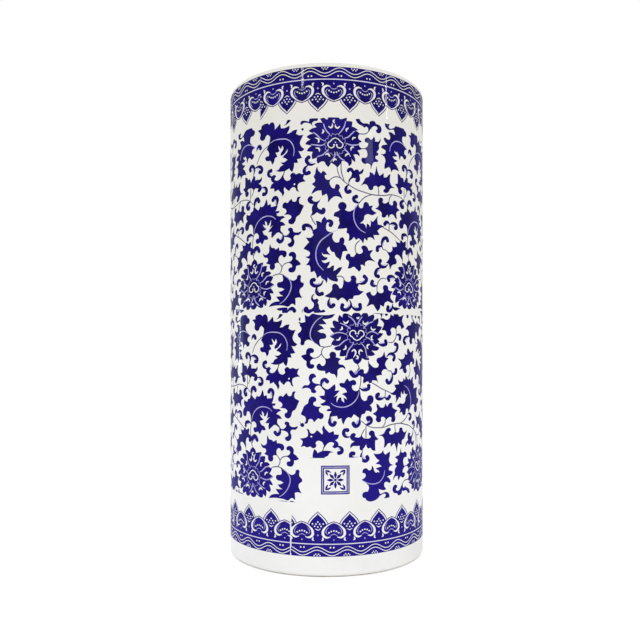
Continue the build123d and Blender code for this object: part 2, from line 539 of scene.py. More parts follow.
        (72.4, 340.2), (76.2, 337.3), (72.4, 335), (71.4, 333.6), (72, 331.2), (72.2, 328), (69.6, 329.5),
        (68.4, 331.2), (64, 331.6), (62, 328.2), (60, 331.4), (57.8, 328.6), (55.4, 327.8), (53.8, 328.4),
        (53.4, 332), (50.6, 334)],
    "maple_9": [
        (70.2, 309.4), (71.4, 307.5), (76.4, 306.4), (77.4, 308.4), (79.4, 309.2), (81.4, 307.4),
        (83.6, 308.4), (85.8, 309.2), (86, 306), (85.4, 304), (87, 303), (89.4, 302.2), (90, 299.4),
        (88.6, 296.6), (86.6, 296), (85, 297.8), (85.4, 299.6), (83.4, 300.1), (81.6, 298.7), (80.6, 296),
        (80.3, 290.2), (78.4, 292), (76.1, 294), (73.5, 294.9), (70.8, 294.3), (69.8, 292.2),
        (71.8, 289.8), (72.2, 287.5), (70.4, 285.7), (68, 285.3), (65.8, 284), (63.4, 279.8), (62.6, 283),
        (61.9, 285), (58.4, 286.2), (61.3, 289.1), (62.4, 292.2), (61, 294.6), (58.7, 297.9), (62, 296.4),
        (64.8, 297), (66.4, 299.4), (66, 302), (68.4, 301.8), (72.4, 302.6), (71.4, 305.6)],
    "sprig_1": [
        (20.4, 355.3), (20, 359), (22.6, 363.4), (23, 366.4), (21.4, 367.8), (20.2, 366.2), (18.4, 366.8),
        (18.6, 369), (20.6, 370.8), (23.2, 370.7), (25.4, 368.2), (27, 369.6), (29.2, 369.4),
        (30.6, 367.5), (34.8, 371.2), (33.4, 366.7), (30.2, 364.9), (31.1, 361.8), (30.5, 358.9),
        (28.3, 357.8), (26, 358.9), (27, 361), (25.4, 361.6), (22.8, 360.6), (21.2, 358.2)],
    "sprig_2": [
        (-4.6, 344.2), (-5.6, 341.8), (-7.5, 340.2), (-9.8, 339.5), (-12, 340.2), (-13.4, 341.8),
        (-12.2, 343.6), (-14, 344.8), (-16.2, 344), (-17.5, 341.8), (-16.8, 339.4), (-14.6, 337.7),
        (-12, 337.1), (-13.4, 334.4), (-13.6, 332.5), (-13.2, 329.9), (-14.6, 326.6), (-11, 327.9),
        (-8.7, 329.6), (-6.2, 328.2), (-3.2, 327.9), (-1.2, 329.6), (-0.9, 332.1), (-2.6, 334.1),
        (-3.8, 333.8), (-4.4, 332.3), (-6.8, 332.9), (-8.2, 334.7), (-8.2, 336.8), (-6.5, 339.4)],
    "sprig_3": [
        (-24.4, 411), (-23.6, 412.8), (-18.8, 413.2), (-16.2, 412.2), (-15.6, 415), (-7.7, 415),
        (-8.2, 413), (-11.6, 412.4), (-13.2, 410.6), (-12.2, 406.9), (-14.4, 410), (-17.7, 411.3),
        (-21, 411.3), (-23, 409.6)],
    "sprig_4": [
        (26.7, 415.5), (30.7, 416), (31.6, 414.1), (34.2, 412.5), (38.9, 412.6), (40.2, 411.8),
        (40.7, 414.4), (43.1, 415.7), (46.3, 415.3), (47.2, 413.8), (50.1, 413.2), (52.5, 411.8),
        (53.5, 409.4), (52.6, 406.5), (49.8, 405.1), (47.5, 406), (47.2, 407.9), (48.8, 408.8),
        (48.6, 410.3), (47, 411.2), (44.2, 410.6), (42, 408.2), (39.2, 404.6), (38.6, 408.8),
        (37.4, 409.6), (35.1, 408.5), (33.4, 409.7), (30.1, 410.9), (27.8, 412.9)],
    "sprig_5": [
        (57.2, 416.2), (64, 416.2), (62.2, 414.4), (61.7, 412.7), (64, 411.8), (66.8, 412.9),
        (69.4, 413.6), (68.2, 411.8), (66.2, 411.4), (63.2, 410.5), (60, 410.9), (57.8, 412.6)],
    "sprig_6": [
        (-10.8, 256.4), (-13.2, 254.6), (-14.3, 252), (-13.6, 249.4), (-11.7, 247.2), (-11.8, 244.6),
        (-14, 242.2), (-16.4, 242), (-16.9, 243.6), (-18.6, 244.6), (-20.6, 243.4), (-21.3, 241.4),
        (-20.4, 239.4), (-17.6, 238.3), (-14, 239), (-12, 240), (-11, 238.8), (-4.5, 238.5), (-1, 239.8),
        (-2.4, 241.6), (-5.2, 240.9), (-6.6, 242.6), (-7, 246), (-8, 248), (-7.2, 250), (-8.8, 251.8),
        (-10.4, 251), (-11.8, 250.8), (-12.6, 252.6), (-11.8, 254.6)],
    "sprig_7": [
        (66.4, 248.6), (68.5, 245.4), (71, 245.4), (77.8, 244.2), (73.6, 243), (71, 242), (68.2, 242.8),
        (66.2, 245)],
}

# Leaves and sprigs of the sheet's left half
LEFT_LEAVES = {
    "fern_1": [
        (-76.6, 413.1), (-72.2, 413.7), (-72, 416.4), (-70.2, 417.3), (-63.5, 417), (-62.8, 416.2),
        (-61.2, 417.6), (-58.4, 417.6), (-56.7, 415.4), (-56.1, 410.6), (-54.3, 412), (-50.6, 415.4),
        (-49.6, 410.9), (-46, 410.6), (-40.8, 412.3), (-40.9, 409.5), (-43.2, 405.1), (-40.2, 405.6),
        (-37.4, 407.3), (-33.1, 408), (-34.2, 404.2), (-31.1, 402.6), (-27.2, 402.8), (-28.5, 399.8),
        (-30, 395.4), (-27.9, 391.4), (-25.5, 389.8), (-27.7, 387.8), (-31.1, 388.1), (-29.2, 384.8),
        (-27.5, 381.7), (-32.1, 380.9), (-31.1, 377.6), (-34.8, 377.6), (-34.8, 374.2), (-36.3, 369.5),
        (-38.3, 371.2), (-39.3, 373.1), (-43.1, 371.4), (-49.2, 371), (-53.6, 372.4), (-50.4, 373.1),
        (-48.9, 375.4), (-45.5, 377), (-48.7, 379.5), (-45.1, 379.3), (-41.5, 381.2), (-43.6, 382.6),
        (-46.7, 383.9), (-44.5, 386.2), (-42.4, 388), (-41.6, 391.2), (-43.2, 389), (-44.5, 387.2),
        (-48.4, 385.3), (-48.8, 387.6), (-47, 390), (-46.2, 392), (-47.2, 394.8), (-48.7, 391.7),
        (-49.9, 393.1), (-51.9, 395.3), (-50.9, 392), (-50, 390.1), (-51.6, 389.2), (-54.4, 389.2),
        (-52.1, 385.3), (-54.9, 383.7), (-55.2, 381.4), (-57.5, 378.4), (-60, 382.4), (-62.5, 382.4),
        (-65.3, 383.7), (-66.1, 385.9), (-64.3, 387.3), (-62.2, 387), (-61.6, 388.6), (-62.1, 390.6),
        (-64.6, 393.7), (-62, 398), (-61.4, 401.4), (-61.2, 404.6), (-64, 407.2), (-66.1, 405.9),
        (-67.1, 403.7), (-68.9, 402.6), (-72, 403.3), (-73.6, 405.3), (-73, 409)],
    "fern_4": [
        (-89.8, 337), (-87.6, 335.7), (-84.4, 335.4), (-83.4, 337.7), (-80.4, 338.7), (-79.4, 342),
        (-77.2, 341.4), (-74.4, 339.4), (-72.6, 338.2), (-69.9, 341.8), (-68.4, 340.9), (-65.8, 341.8),
        (-64.2, 344.4), (-62.8, 347.6), (-61.4, 344.4), (-61, 341.6), (-57.8, 342.5), (-57, 339.5),
        (-54, 339.8), (-49.8, 340.4), (-50.6, 337.2), (-51.9, 335.2), (-47.3, 335), (-48.8, 333),
        (-50.6, 333), (-50.1, 331.2), (-47.5, 330.2), (-43.2, 330), (-41.7, 328.5), (-44.9, 327.2),
        (-46.7, 325.4), (-43.4, 324.3), (-40.7, 321.4), (-45.3, 321), (-45.7, 317.2), (-43.2, 314.1),
        (-42.2, 311.8), (-44.8, 313.7), (-48.2, 315.3), (-52, 312.9), (-54.9, 310.5), (-55.7, 313.5),
        (-55.1, 316.6), (-59.4, 316.4), (-57.6, 318.8), (-54, 322.3), (-57.6, 320.9), (-56.6, 324),
        (-56.6, 327.6), (-57.8, 324.7), (-59.2, 322.8), (-61, 322.8), (-61.2, 325.2), (-63.7, 327.5),
        (-63.2, 324.6), (-62.7, 322.9), (-66.2, 324.5), (-64.4, 321.7), (-61.3, 319.7), (-63.8, 318.6),
        (-66.2, 318), (-64.4, 315), (-60, 312.7), (-58.8, 310.4), (-60.6, 309.4), (-63.4, 309.6),
        (-64.6, 307.6), (-66.4, 305.5), (-68.4, 308), (-70, 307.4), (-72.2, 306.8), (-74.4, 308.1),
        (-74.9, 310.3), (-73.4, 311.8), (-71.2, 311.6), (-70.8, 313.4), (-71.6, 315.5), (-74, 317),
        (-76.4, 316.5), (-77.9, 315.2), (-78.8, 317.8), (-79.3, 322), (-80.6, 324.8), (-83.2, 326.2),
        (-85.2, 325.2), (-85.6, 323.2), (-87.2, 321.4), (-89.6, 321.1), (-91.8, 322.7), (-92.3, 325.6),
        (-91.1, 328.3), (-88.4, 330.2), (-90.5, 332.8)],
    "fern_5": [
        (-42.2, 276.4), (-39.3, 275.3), (-36.4, 273.2), (-33.4, 271.2), (-30.4, 270.4), (-27.6, 272.2),
        (-27, 274.6), (-25.2, 275.5), (-23.4, 274.3), (-23.7, 271.6), (-23.4, 269.4), (-21.4, 267.4),
        (-20.8, 265.2), (-23.4, 262.9), (-24.3, 261), (-23.4, 257.6), (-21.5, 254), (-25.2, 254.8),
        (-28, 254), (-27.6, 247.5), (-30.8, 249.2), (-34.4, 246.7), (-39.3, 247.6), (-49.3, 247.9),
        (-55.3, 247), (-52.8, 250), (-49.6, 251.3), (-43.8, 251.9), (-47.6, 256.3), (-44.6, 256.4),
        (-39.9, 256.6), (-43.4, 258.2), (-45.3, 260.7), (-42.8, 260.9), (-39.3, 262.6), (-42.2, 264),
        (-45.2, 264.4), (-47, 265.9), (-47.2, 267.9), (-45.8, 269.4), (-43.6, 269.6), (-41.4, 270.4),
        (-41.1, 272.6)],
    "maple_10": [
        (-54.4, 368.8), (-52.6, 367.3), (-53.8, 365.8), (-54.3, 364.2), (-52, 363.2), (-49.1, 364),
        (-46.6, 366.6), (-44.9, 369), (-44.6, 365.4), (-42.4, 362.5), (-39.6, 362.1), (-37.6, 363.9),
        (-38.3, 366.6), (-36.7, 368.6), (-34.6, 368.8), (-32.8, 367.4), (-29.6, 368.2), (-26.9, 367.1),
        (-23.7, 368), (-25, 365.2), (-25.5, 363.2), (-23, 360.2), (-26.7, 359.7), (-29.7, 358.4),
        (-30.2, 353.7), (-29, 351.1), (-31.4, 352.1), (-32.6, 354.7), (-34.4, 355.6), (-37, 354.4),
        (-38.6, 352.3), (-40.8, 353.8), (-43.3, 356.3), (-44.1, 354.6), (-43.3, 351.2), (-45, 347.8),
        (-46.1, 350.6), (-48.5, 353.2), (-49.9, 354.7), (-53.9, 353.1), (-54.4, 356.2), (-58.9, 356.6),
        (-57.1, 360.6), (-55.2, 361.5), (-57.3, 362.9), (-58.5, 365.3), (-57.4, 367.8)],
    "maple_11": [
        (-44.9, 339.2), (-44.1, 341.5), (-42, 342.5), (-39.9, 341.5), (-38.2, 343.2), (-36.1, 345.3),
        (-34.1, 342.5), (-31.8, 342.5), (-29.8, 346.4), (-26.9, 346.6), (-28.3, 344.2), (-28.2, 341.2),
        (-23.7, 338.2), (-24.9, 335.3), (-27.6, 330), (-30.2, 328.2), (-31.3, 324.4), (-33.2, 322.1),
        (-35.8, 321.9), (-37.9, 323.5), (-37.9, 326.1), (-35.7, 327.4), (-35.4, 329), (-37.2, 330.5),
        (-42.8, 331.1), (-40.7, 333), (-40.8, 335.3), (-42.2, 336.5), (-44.2, 337.4)],
    "maple_12": [
        (-56.6, 305.4), (-57.4, 302.4), (-58.1, 297.2), (-62.4, 295.7), (-64.7, 297.5), (-64, 294.6),
        (-62.4, 293.2), (-58.9, 292.2), (-58.4, 290.2), (-60.6, 287.7), (-55.9, 286.2), (-56.2, 283.8),
        (-55.2, 281.9), (-53.1, 281.1), (-50.8, 282.1), (-50, 284.2), (-50.6, 286.4), (-48.6, 287.4),
        (-45, 286.2), (-43.1, 284), (-46.2, 288.4), (-46.6, 290.7), (-45.6, 293.2), (-43.4, 294.1),
        (-41.2, 291.9), (-39.3, 292.6), (-38.3, 295), (-39.3, 297.4), (-42.2, 298.5), (-46, 298.6),
        (-46.6, 301.6), (-49.9, 299.7), (-51.6, 301.2), (-54.6, 301.8)],
    "sprig_8": [
        (-43.2, 313.2), (-41, 311.9), (-37.8, 312.9), (-36.4, 315), (-38.2, 316.9), (-37.4, 318.6),
        (-35.4, 318.9), (-33.4, 317.8), (-32.9, 315.6), (-31.6, 314.6), (-28.6, 314.1), (-24.8, 315.1),
        (-26.1, 312.5), (-28, 311.5), (-30.6, 311.6), (-32.2, 309.2), (-31.2, 306.6), (-31.2, 304.4),
        (-32.4, 302), (-34.8, 300.9), (-37.2, 302.1), (-38, 304.2), (-35.6, 305.2), (-34.4, 306.6),
        (-34.9, 308.5), (-37.4, 310), (-41.6, 311)],
    "sprig_9": [
        (-38, 287.2), (-34.2, 288.2), (-32.5, 290.6), (-33.4, 292.5), (-35.4, 292.6), (-36.4, 294.2),
        (-35.4, 296), (-32.8, 296.8), (-30.1, 295.6), (-28.8, 292.8), (-29, 290), (-26.9, 288.5),
        (-23.9, 285), (-26.9, 283.8), (-28.6, 283.6), (-28.8, 280.6), (-30.5, 278.2), (-33.4, 277.8),
        (-35.8, 279.1), (-35.9, 281.3), (-34.2, 282.5), (-32.6, 282.6), (-32.6, 284.2), (-34.2, 285.9)],
    "sprig_10": [
        (-46.9, 245), (-42, 245.9), (-35.2, 245.8), (-35.6, 240), (-40.4, 240), (-40.8, 243.4),
        (-44, 243.2)],
    "sprig_11": [
        (-47.4, 413), (-44.9, 414.2), (-43.9, 416.5), (-43.4, 417.4), (-39.5, 417), (-42.3, 414.5),
        (-44.1, 413.5)],
}

RIGHT_VEINS = [
    [(10.4, 314.1), (4.9, 311.5), (0.2, 308.2), (-4.8, 304.4), (-8.2, 299.2), (-9.7, 293.2), (-9.3, 287),
     (-7.2, 282), (-2.9, 277.3)],
    [(29.4, 338.4), (26.6, 335.2), (25.2, 331), (25.2, 324.6), (27.4, 319), (31.2, 314.8), (36.4, 312.2)],
    [(63.1, 390.6), (63.7, 394.1), (66, 398.2), (69.5, 400.9), (75.4, 401.9), (80.1, 401.2),
     (84.8, 399.1), (88.4, 396.8)],
]
LEFT_VEINS = [
    [(-60.7, 398.7), (-57.7, 400.3), (-53.3, 401), (-48.8, 400.9), (-43.3, 400.1), (-39.3, 397.6),
     (-36.6, 393.7), (-35.3, 389.2), (-35.9, 384.2)],
    [(-77.6, 317.6), (-76.7, 321.2), (-74.4, 325.3), (-70.2, 329.1), (-65.5, 331.1), (-60.8, 331.6),
     (-56.7, 330.9), (-53.8, 329.7), (-51.4, 327.6)],
    [(-39.9, 275.3), (-35.8, 272.6), (-33.1, 268.8), (-32.5, 264.7), (-33.7, 260), (-36.9, 254.7),
     (-40.5, 251.2), (-43.4, 249.4)],
]

# Each curl from its tail to its bulb
RIGHT_CURLS = [
    [(-0.6, 318.6), (0.2, 321.4), (2.8, 321.9), (4.6, 320.2), (3.6, 318.2)],
    [(-12.3, 312.6), (-14.4, 316.8), (-18, 318.4), (-21.2, 317.2), (-20.8, 315.2)],
    [(-10.4, 374.1), (-14.2, 373.1), (-17.6, 375), (-18.3, 378.2), (-16.4, 379.9)],
    [(-16.6, 373), (-20, 370.2), (-20.6, 367.4), (-19, 365.3), (-16.2, 366)],
    [(20.4, 355.4), (17.9, 352.8), (17.6, 350), (19.2, 348.4), (21.2, 349.2)],
    [(30.7, 339.4), (27.4, 339.7), (25.2, 341.2), (25.2, 343.6), (27.4, 344.8)],
    [(-3.2, 268), (-4.6, 264.9), (-8.2, 263), (-11.8, 263.4), (-13.8, 265.8), (-13.3, 268.4),
     (-11.6, 268.6)],
    [(-8, 262.8), (-9.3, 260), (-8.9, 257), (-6.8, 255.3), (-4.2, 256)],
    [(2.8, 251.6), (1.7, 248.5), (2.1, 245.6), (4.3, 244.1), (6.2, 245.6)],
    [(21.2, 250.2), (22.5, 246.2), (20.6, 242.6), (17, 241.2), (13.9, 242.8), (14.4, 245.6)],
    [(22.4, 246), (24.6, 243), (28, 241.8), (31.2, 243), (31, 246.2)],
    [(28.4, 265.6), (32.2, 265.5), (36, 267), (37.4, 270), (35.4, 272.2)],
    [(48.4, 264.4), (45, 264.1), (42.6, 265.6), (43.4, 267.9)],
    [(71, 271.9), (67.4, 273.9), (63.8, 273.9), (61, 272.2), (62, 270.3)],
    [(60.8, 284.8), (57.2, 282.2), (53, 282.4), (50.8, 285), (52, 287.6)],
    [(53.4, 281.2), (49.2, 280), (47, 277), (47.2, 273.8), (49.8, 273)],
    [(54.4, 299.4), (53.6, 302.2), (54, 305.6), (56.6, 308.8), (59.8, 308.8), (60.4, 307)],
    [(54, 300.8), (51, 300.9), (48.8, 299.4), (48.8, 297.2)],
    [(66.8, 248.2), (65.8, 243.8), (62.8, 241.6), (60.2, 242.6), (61, 245)],
    [(63, 322.2), (60.8, 324), (58.4, 323.7), (57.2, 322.1)],
    [(62.6, 322.1), (65.8, 323.6), (69.4, 323.9), (72, 322.1), (71.6, 319.9), (70.2, 319.6)],
    [(86.8, 371.6), (88, 376.5), (85.8, 379.8), (82.6, 380), (81, 377.8), (82, 376.7)],
    [(88, 377.4), (92, 378.3), (95.8, 377.6), (98, 375), (97, 372.6), (95.2, 372.9)],
    [(90, 393.6), (91.4, 396.4), (94.2, 397), (95.2, 395)],
    [(82.4, 347.6), (79, 346.2), (77.4, 343.6), (78.8, 341.4), (81, 342)],
    [(89, 341.4), (89.2, 345), (91, 347.6), (94, 348), (95.2, 346.2)],
    [(88.8, 296.6), (90.2, 300), (92.6, 302.2), (95.6, 302.2), (96.8, 299.9)],
]
LEFT_CURLS = [
    [(-78, 341.5), (-78, 345), (-76.6, 347.7), (-73.8, 348.4), (-72.2, 346.6)],
    [(-51, 338.6), (-50.5, 342.2), (-50.2, 345.4), (-52, 347.6), (-54.2, 347.3), (-55, 345.8)],
    [(-78.3, 314.4), (-81, 316.1), (-84.5, 316), (-87.2, 314.5), (-87.2, 312.5)],
    [(-84.4, 348), (-87.5, 346.6), (-89, 343.8), (-88, 341.6), (-86.2, 342)],
    [(-69, 358.6), (-66, 358.8), (-63.6, 357.3), (-63, 354.6), (-64.4, 352.4), (-66.6, 352.5)],
    [(-56.4, 367), (-59.8, 367.9), (-61.6, 370.2), (-60.8, 372.6), (-58.8, 373.1)],
    [(-43.4, 313.6), (-42.6, 310.5), (-43.6, 307.5), (-46, 306.5), (-48, 308.2)],
    [(-77, 296.5), (-76, 299.8), (-73.8, 302.2), (-71, 302.3), (-69.8, 299.9)],
    [(-35.4, 241.4), (-33.5, 244), (-30.2, 244.8), (-28.4, 242.8)],
]

RIGHT_STEMS = [
    [(9.4, 370.6), (11, 364.4), (13, 360.8), (16, 358), (20, 355.4), (28, 351.2), (36, 349.2), (42, 348),
     (50, 347.9), (58, 348.8), (63.5, 350.2), (70, 350.4), (76, 349.9), (81, 348.4), (87.4, 343.8)],
    [(13.2, 376), (13.4, 367), (16, 358.4)],
    [(3.4, 359.6), (7, 361.8), (10, 362), (12.4, 361)],
    [(30.6, 339.6), (33.6, 343), (38, 346), (43, 347.8)],
    [(62.2, 343), (62.8, 347), (65.4, 349.8)],
    [(49.3, 356), (50.2, 352), (50.2, 348)],
    [(83.1, 360), (83.1, 348)],
    [(87.5, 356), (84.6, 351.3)],
    [(55, 318.8), (60, 317), (66, 314.6), (72, 311.4), (79, 307.6)],
    [(62.4, 321.4), (62.2, 316.2)],
    [(54, 300.2), (55.4, 298.4), (58.7, 298)],
    [(26.8, 294), (26.4, 299), (28, 302.6), (30.6, 304.8)],
    [(8.8, 271.6), (13, 271.8), (15.4, 270.4), (15.6, 266)],
    [(58.4, 271.3), (53.8, 271.4), (50.2, 268.6), (48.6, 264.9), (48.5, 258.8)],
    [(39.8, 405.6), (37, 403.2), (33, 402.4), (28, 402.8)],
    [(31, 388.9), (36.4, 389.2)],
    [(80.4, 294), (80.6, 289)],
    [(88.4, 378), (87.4, 374), (86.4, 369.5)],
    [(-9.9, 318.5), (-12, 321.5), (-14.5, 326.6)],
]
LEFT_STEMS = [
    [(-77.9, 315.3), (-79.1, 310), (-79.4, 302.4)],
    [(-78.2, 297.2), (-76.4, 292.6)],
    [(-44.8, 368), (-44.2, 370.6), (-42.8, 372.6)],
    [(-76.3, 382), (-72.8, 388.7), (-68.5, 393.1), (-62, 397.3)],
    [(-52, 275.8), (-45.8, 277), (-41, 276)],
    [(-45.2, 277), (-43.2, 280), (-42.8, 283), (-45.2, 286.6)],
    [(-42.8, 283), (-40.5, 285.7), (-36.4, 287.3)],
]

# Round knobs and bare pinholes, across, up and radius
KNOBS = [(14.4, 335.5, 3.95), (-22.1, 405.7, 1.2)]
PINHOLES = [(-33.6, 357.2, 0.8)]

# Lotus heads: the edge of each, its petals' pale lines and white commas, and its middle
RIGHT_LOTUS_EDGE = [
    (1.8, 415.9), (10.7, 416.4), (11.7, 415), (18.6, 416.1), (18.1, 413), (23.7, 412.9), (23.2, 408.4),
    (25.6, 407.8), (29.3, 405.5), (26.6, 405), (30.9, 402.5), (29.4, 400.4), (29.4, 398.2), (32.9, 395.4),
    (30, 394), (30.2, 391.4), (33, 388.7), (28.5, 386.9), (30.5, 384), (30.6, 381.5), (28.2, 383.2),
    (24.6, 382.9), (26.4, 379), (26.2, 376.1), (24.2, 377.4), (22.9, 379.2), (22.9, 374.4), (20.2, 372),
    (19.6, 374.6), (17, 376.2), (14.2, 376.8), (12.3, 373.4), (9.9, 370.6), (7.6, 372.4), (4.2, 374.8),
    (1.5, 370.7), (-0.8, 373), (-2.2, 375.6), (-5, 375.6), (-7.9, 373.9), (-9.1, 376.2), (-8.6, 379.6),
    (-13, 378.1), (-13.6, 380.6), (-12.7, 384.8), (-18.2, 385.7), (-16.6, 388.2), (-13.6, 390.6),
    (-19.5, 392), (-18.4, 394), (-14.8, 396), (-18.4, 398.6), (-15.6, 400.6), (-12, 401.4),
    (-16.5, 403.9), (-14.2, 405.6), (-9.2, 407), (-11.3, 409.8), (-7.7, 411.2), (-3.8, 411),
    (-5.9, 414.7), (-2.6, 415.4), (0.4, 413.6)]
LEFT_LOTUS_EDGE = [
    (-87.9, 288.6), (-84.6, 288.9), (-80.6, 287.2), (-79.6, 289.8), (-75.8, 292.9), (-72, 290),
    (-71.2, 287.6), (-66.4, 288.8), (-63.9, 289), (-65, 284.8), (-62.2, 285.5), (-59.2, 285.3),
    (-59.6, 282.2), (-60.4, 280), (-55.2, 279.5), (-54, 277.8), (-58.6, 276), (-55.2, 275.9),
    (-51.5, 274.7), (-52.6, 272.2), (-54.5, 269.8), (-50.1, 267.1), (-54.2, 264.4), (-52.4, 262.8),
    (-50.4, 259.4), (-54.8, 259.6), (-53.4, 257), (-52.8, 254.6), (-54, 252.7), (-58.2, 254.2),
    (-57.8, 251.2), (-59, 247.8), (-62, 250.2), (-62.2, 247.6), (-63.6, 246.4), (-65.8, 246.5),
    (-70.4, 248.8), (-72.2, 246.2), (-78.1, 246.2), (-79.6, 248.2), (-81.6, 245.9), (-85.8, 246),
    (-87, 248.8), (-92.2, 246.7), (-93, 248.4), (-91.8, 252.8), (-97.2, 250.2), (-97.6, 252.8),
    (-96, 257.4), (-101.5, 258.1), (-99.6, 261.2), (-97, 263.8), (-102.9, 264.3), (-100.5, 267.1),
    (-96.6, 269.6), (-98.7, 271.5), (-95.2, 274.2), (-91, 275), (-98.5, 277.5), (-96.9, 279.7),
    (-93.4, 280.4), (-90, 279.8), (-93.8, 283.8), (-91.6, 284.9), (-86.2, 285)]
RIGHT_PETAL_LINES = [
    [(-2.7, 409.8), (-1.8, 406.7), (0.1, 403.3), (2.9, 400.4)],
    [(17.3, 412.6), (16.4, 408.7), (14.4, 405), (11.1, 401)],
    [(25.5, 404.3), (22.5, 401.3), (19.9, 398.7), (16.4, 397.3)],
    [(30, 392.5), (26.4, 391.7), (22, 391.5), (18, 392.8)],
    [(21.8, 381.1), (19.9, 383.9), (17.7, 386.3), (16, 387.7)],
    [(16.4, 377), (12.9, 378.9), (10.5, 381.7), (9.4, 384.4)],
    [(3.4, 375.4), (6.4, 378.9), (7.7, 382), (7.3, 384.4)],
    [(-8, 380.4), (-3.8, 381.7), (-0.6, 384.4), (1.8, 387)],
    [(-14, 391.5), (-9.4, 390.8), (-4.4, 390.5), (-1.8, 391.6)],
    [(-12, 402.4), (-8.6, 399.8), (-6, 396.8), (-1.8, 394.5)],
]
LEFT_PETAL_LINES = [
    [(-85.8, 286.8), (-84.6, 282.4), (-83.7, 278.2), (-81.6, 275.3), (-79.9, 273.8)],
    [(-65.5, 286.5), (-66.4, 282.4), (-68.1, 278.8), (-71.1, 275.3), (-72.5, 272.9)],
    [(-55.2, 276.2), (-58.7, 275.6), (-61.6, 273.2), (-64, 271.2), (-66.4, 270.3)],
    [(-51.4, 266.8), (-54.6, 264.7), (-58.7, 263.8), (-62.8, 264.4), (-65.2, 265.3)],
    [(-59.9, 255.3), (-63.4, 256.5), (-66.4, 258.2), (-69.3, 260.3)],
    [(-67.5, 248.8), (-71.6, 251.8), (-74, 255.3), (-74.6, 258.2)],
    [(-80.5, 249.4), (-78.1, 252.4), (-76.6, 255.3), (-76.4, 258.2)],
    [(-91.4, 253.5), (-86.9, 255.3), (-84, 257.6), (-81.9, 259.7)],
    [(-97.2, 265), (-94, 263.5), (-90.5, 262.6), (-85.8, 264.4)],
    [(-94.3, 275.9), (-91.4, 272.4), (-88.1, 269.4), (-84, 267.6)],
]
RIGHT_PETAL_COMMAS = [
    [(7.5, 413.9), (6.1, 412.5), (7.2, 411.1)],
    [(5.2, 410.4), (5.2, 408), (4, 406.5), (2, 407.5)],
    [(7.9, 409.6), (8.3, 407.2), (9.8, 406.3), (11.8, 407.7)],
    [(-3.7, 405), (-2.8, 403.3), (-4, 401.4)],
    [(-10.4, 397.5), (-7.4, 396), (-6.9, 394.4), (-7.7, 393.2)],
    [(-10.1, 388.1), (-7.6, 387.9), (-6.4, 386.4), (-6.6, 385.2)],
    [(-1.4, 381.8), (0.8, 382.7), (2.2, 381.6), (2.8, 380.5)],
    [(6, 375.6), (6.8, 377.6), (7.9, 378.2), (8.7, 377.4)],
    [(16.8, 380.7), (18.2, 382.6), (20.5, 383.5)],
    [(22.6, 386.5), (22.4, 388.3), (23.1, 389.4), (24.8, 389.7)],
    [(23.7, 396.1), (24.3, 397.9), (26.5, 398.5)],
    [(18.3, 403.3), (18, 405.1), (19.8, 406.7)],
]
LEFT_PETAL_COMMAS = [
    [(-74.6, 287.6), (-76.4, 287.1), (-76.4, 285.6), (-75.2, 284.7)],
    [(-78.1, 284.1), (-77.5, 281.8), (-79, 279.7), (-80.8, 280.9)],
    [(-72.2, 286.5), (-74, 283.5), (-74.3, 281.2), (-72.8, 279.5), (-70.8, 280.9)],
    [(-86.6, 278.8), (-85.5, 277.1), (-86.1, 275.1), (-87.8, 274.7)],
    [(-62.5, 279.4), (-64.9, 278.2), (-64.9, 275.9)],
    [(-56.1, 270.6), (-58.7, 270.3), (-59.9, 268.2)],
    [(-59.4, 261.6), (-61.6, 260.4), (-61.5, 258.5)],
    [(-62.8, 253.5), (-64.6, 255.2), (-66.6, 254.4), (-67.2, 253.2)],
    [(-75.2, 249.7), (-76.4, 250.8), (-77.5, 249.7)],
    [(-81.6, 252.9), (-81.6, 254.7), (-83.7, 255.8), (-86.4, 254.1)],
    [(-89.6, 258.2), (-89.9, 260), (-91.9, 261.1), (-94, 260.3)],
    [(-91.9, 270.6), (-90.2, 269.4), (-90.2, 267.1), (-91.1, 266.5)],
]
RIGHT_LOTUS_MIDDLE = (8.0, 391.3)
LEFT_LOTUS_MIDDLE = (-75.6, 264.9)
LOTUS_CURL = [
    (0, 6), (2.6, 4.9), (4.5, 2.9), (6.4, 1.6), (6.9, -0.2), (5.8, -2.3), (3.2, -3), (1.5, -1.9),
    (1.2, -0.3)]
SCALLOPS = 14
SCALLOP_RADIUS = 8.4
SCALLOP_REACH = 1.6

# Widths along each kind of stroke, and how far the legs of a leaf's and a lotus head's edge swell
STEM_WIDTHS = [0.8, 1.0, 0.8]
VEIN_WIDTHS = [0.5, 0.9, 1.0, 0.9, 0.5]
PETAL_LINE_WIDTHS = [0.8, 1.1, 1.0, 0.7]
PETAL_COMMA_WIDTHS = [0.4, 1.3, 1.5, 0.9]
SCALLOP_WIDTHS = [0.3, 0.38, 0.3]
LOTUS_CURL_WIDTHS = [0.8, 0.9, 0.9, 0.9, 1.0]
LEAF_SWELL = 0.1
LOTUS_SWELL = 0.15


def round_about(middle, angle, radius):
    """The place at an angle and a distance from a middle."""
    return middle[0] + radius * math.cos(angle), middle[1] + radius * math.sin(angle)


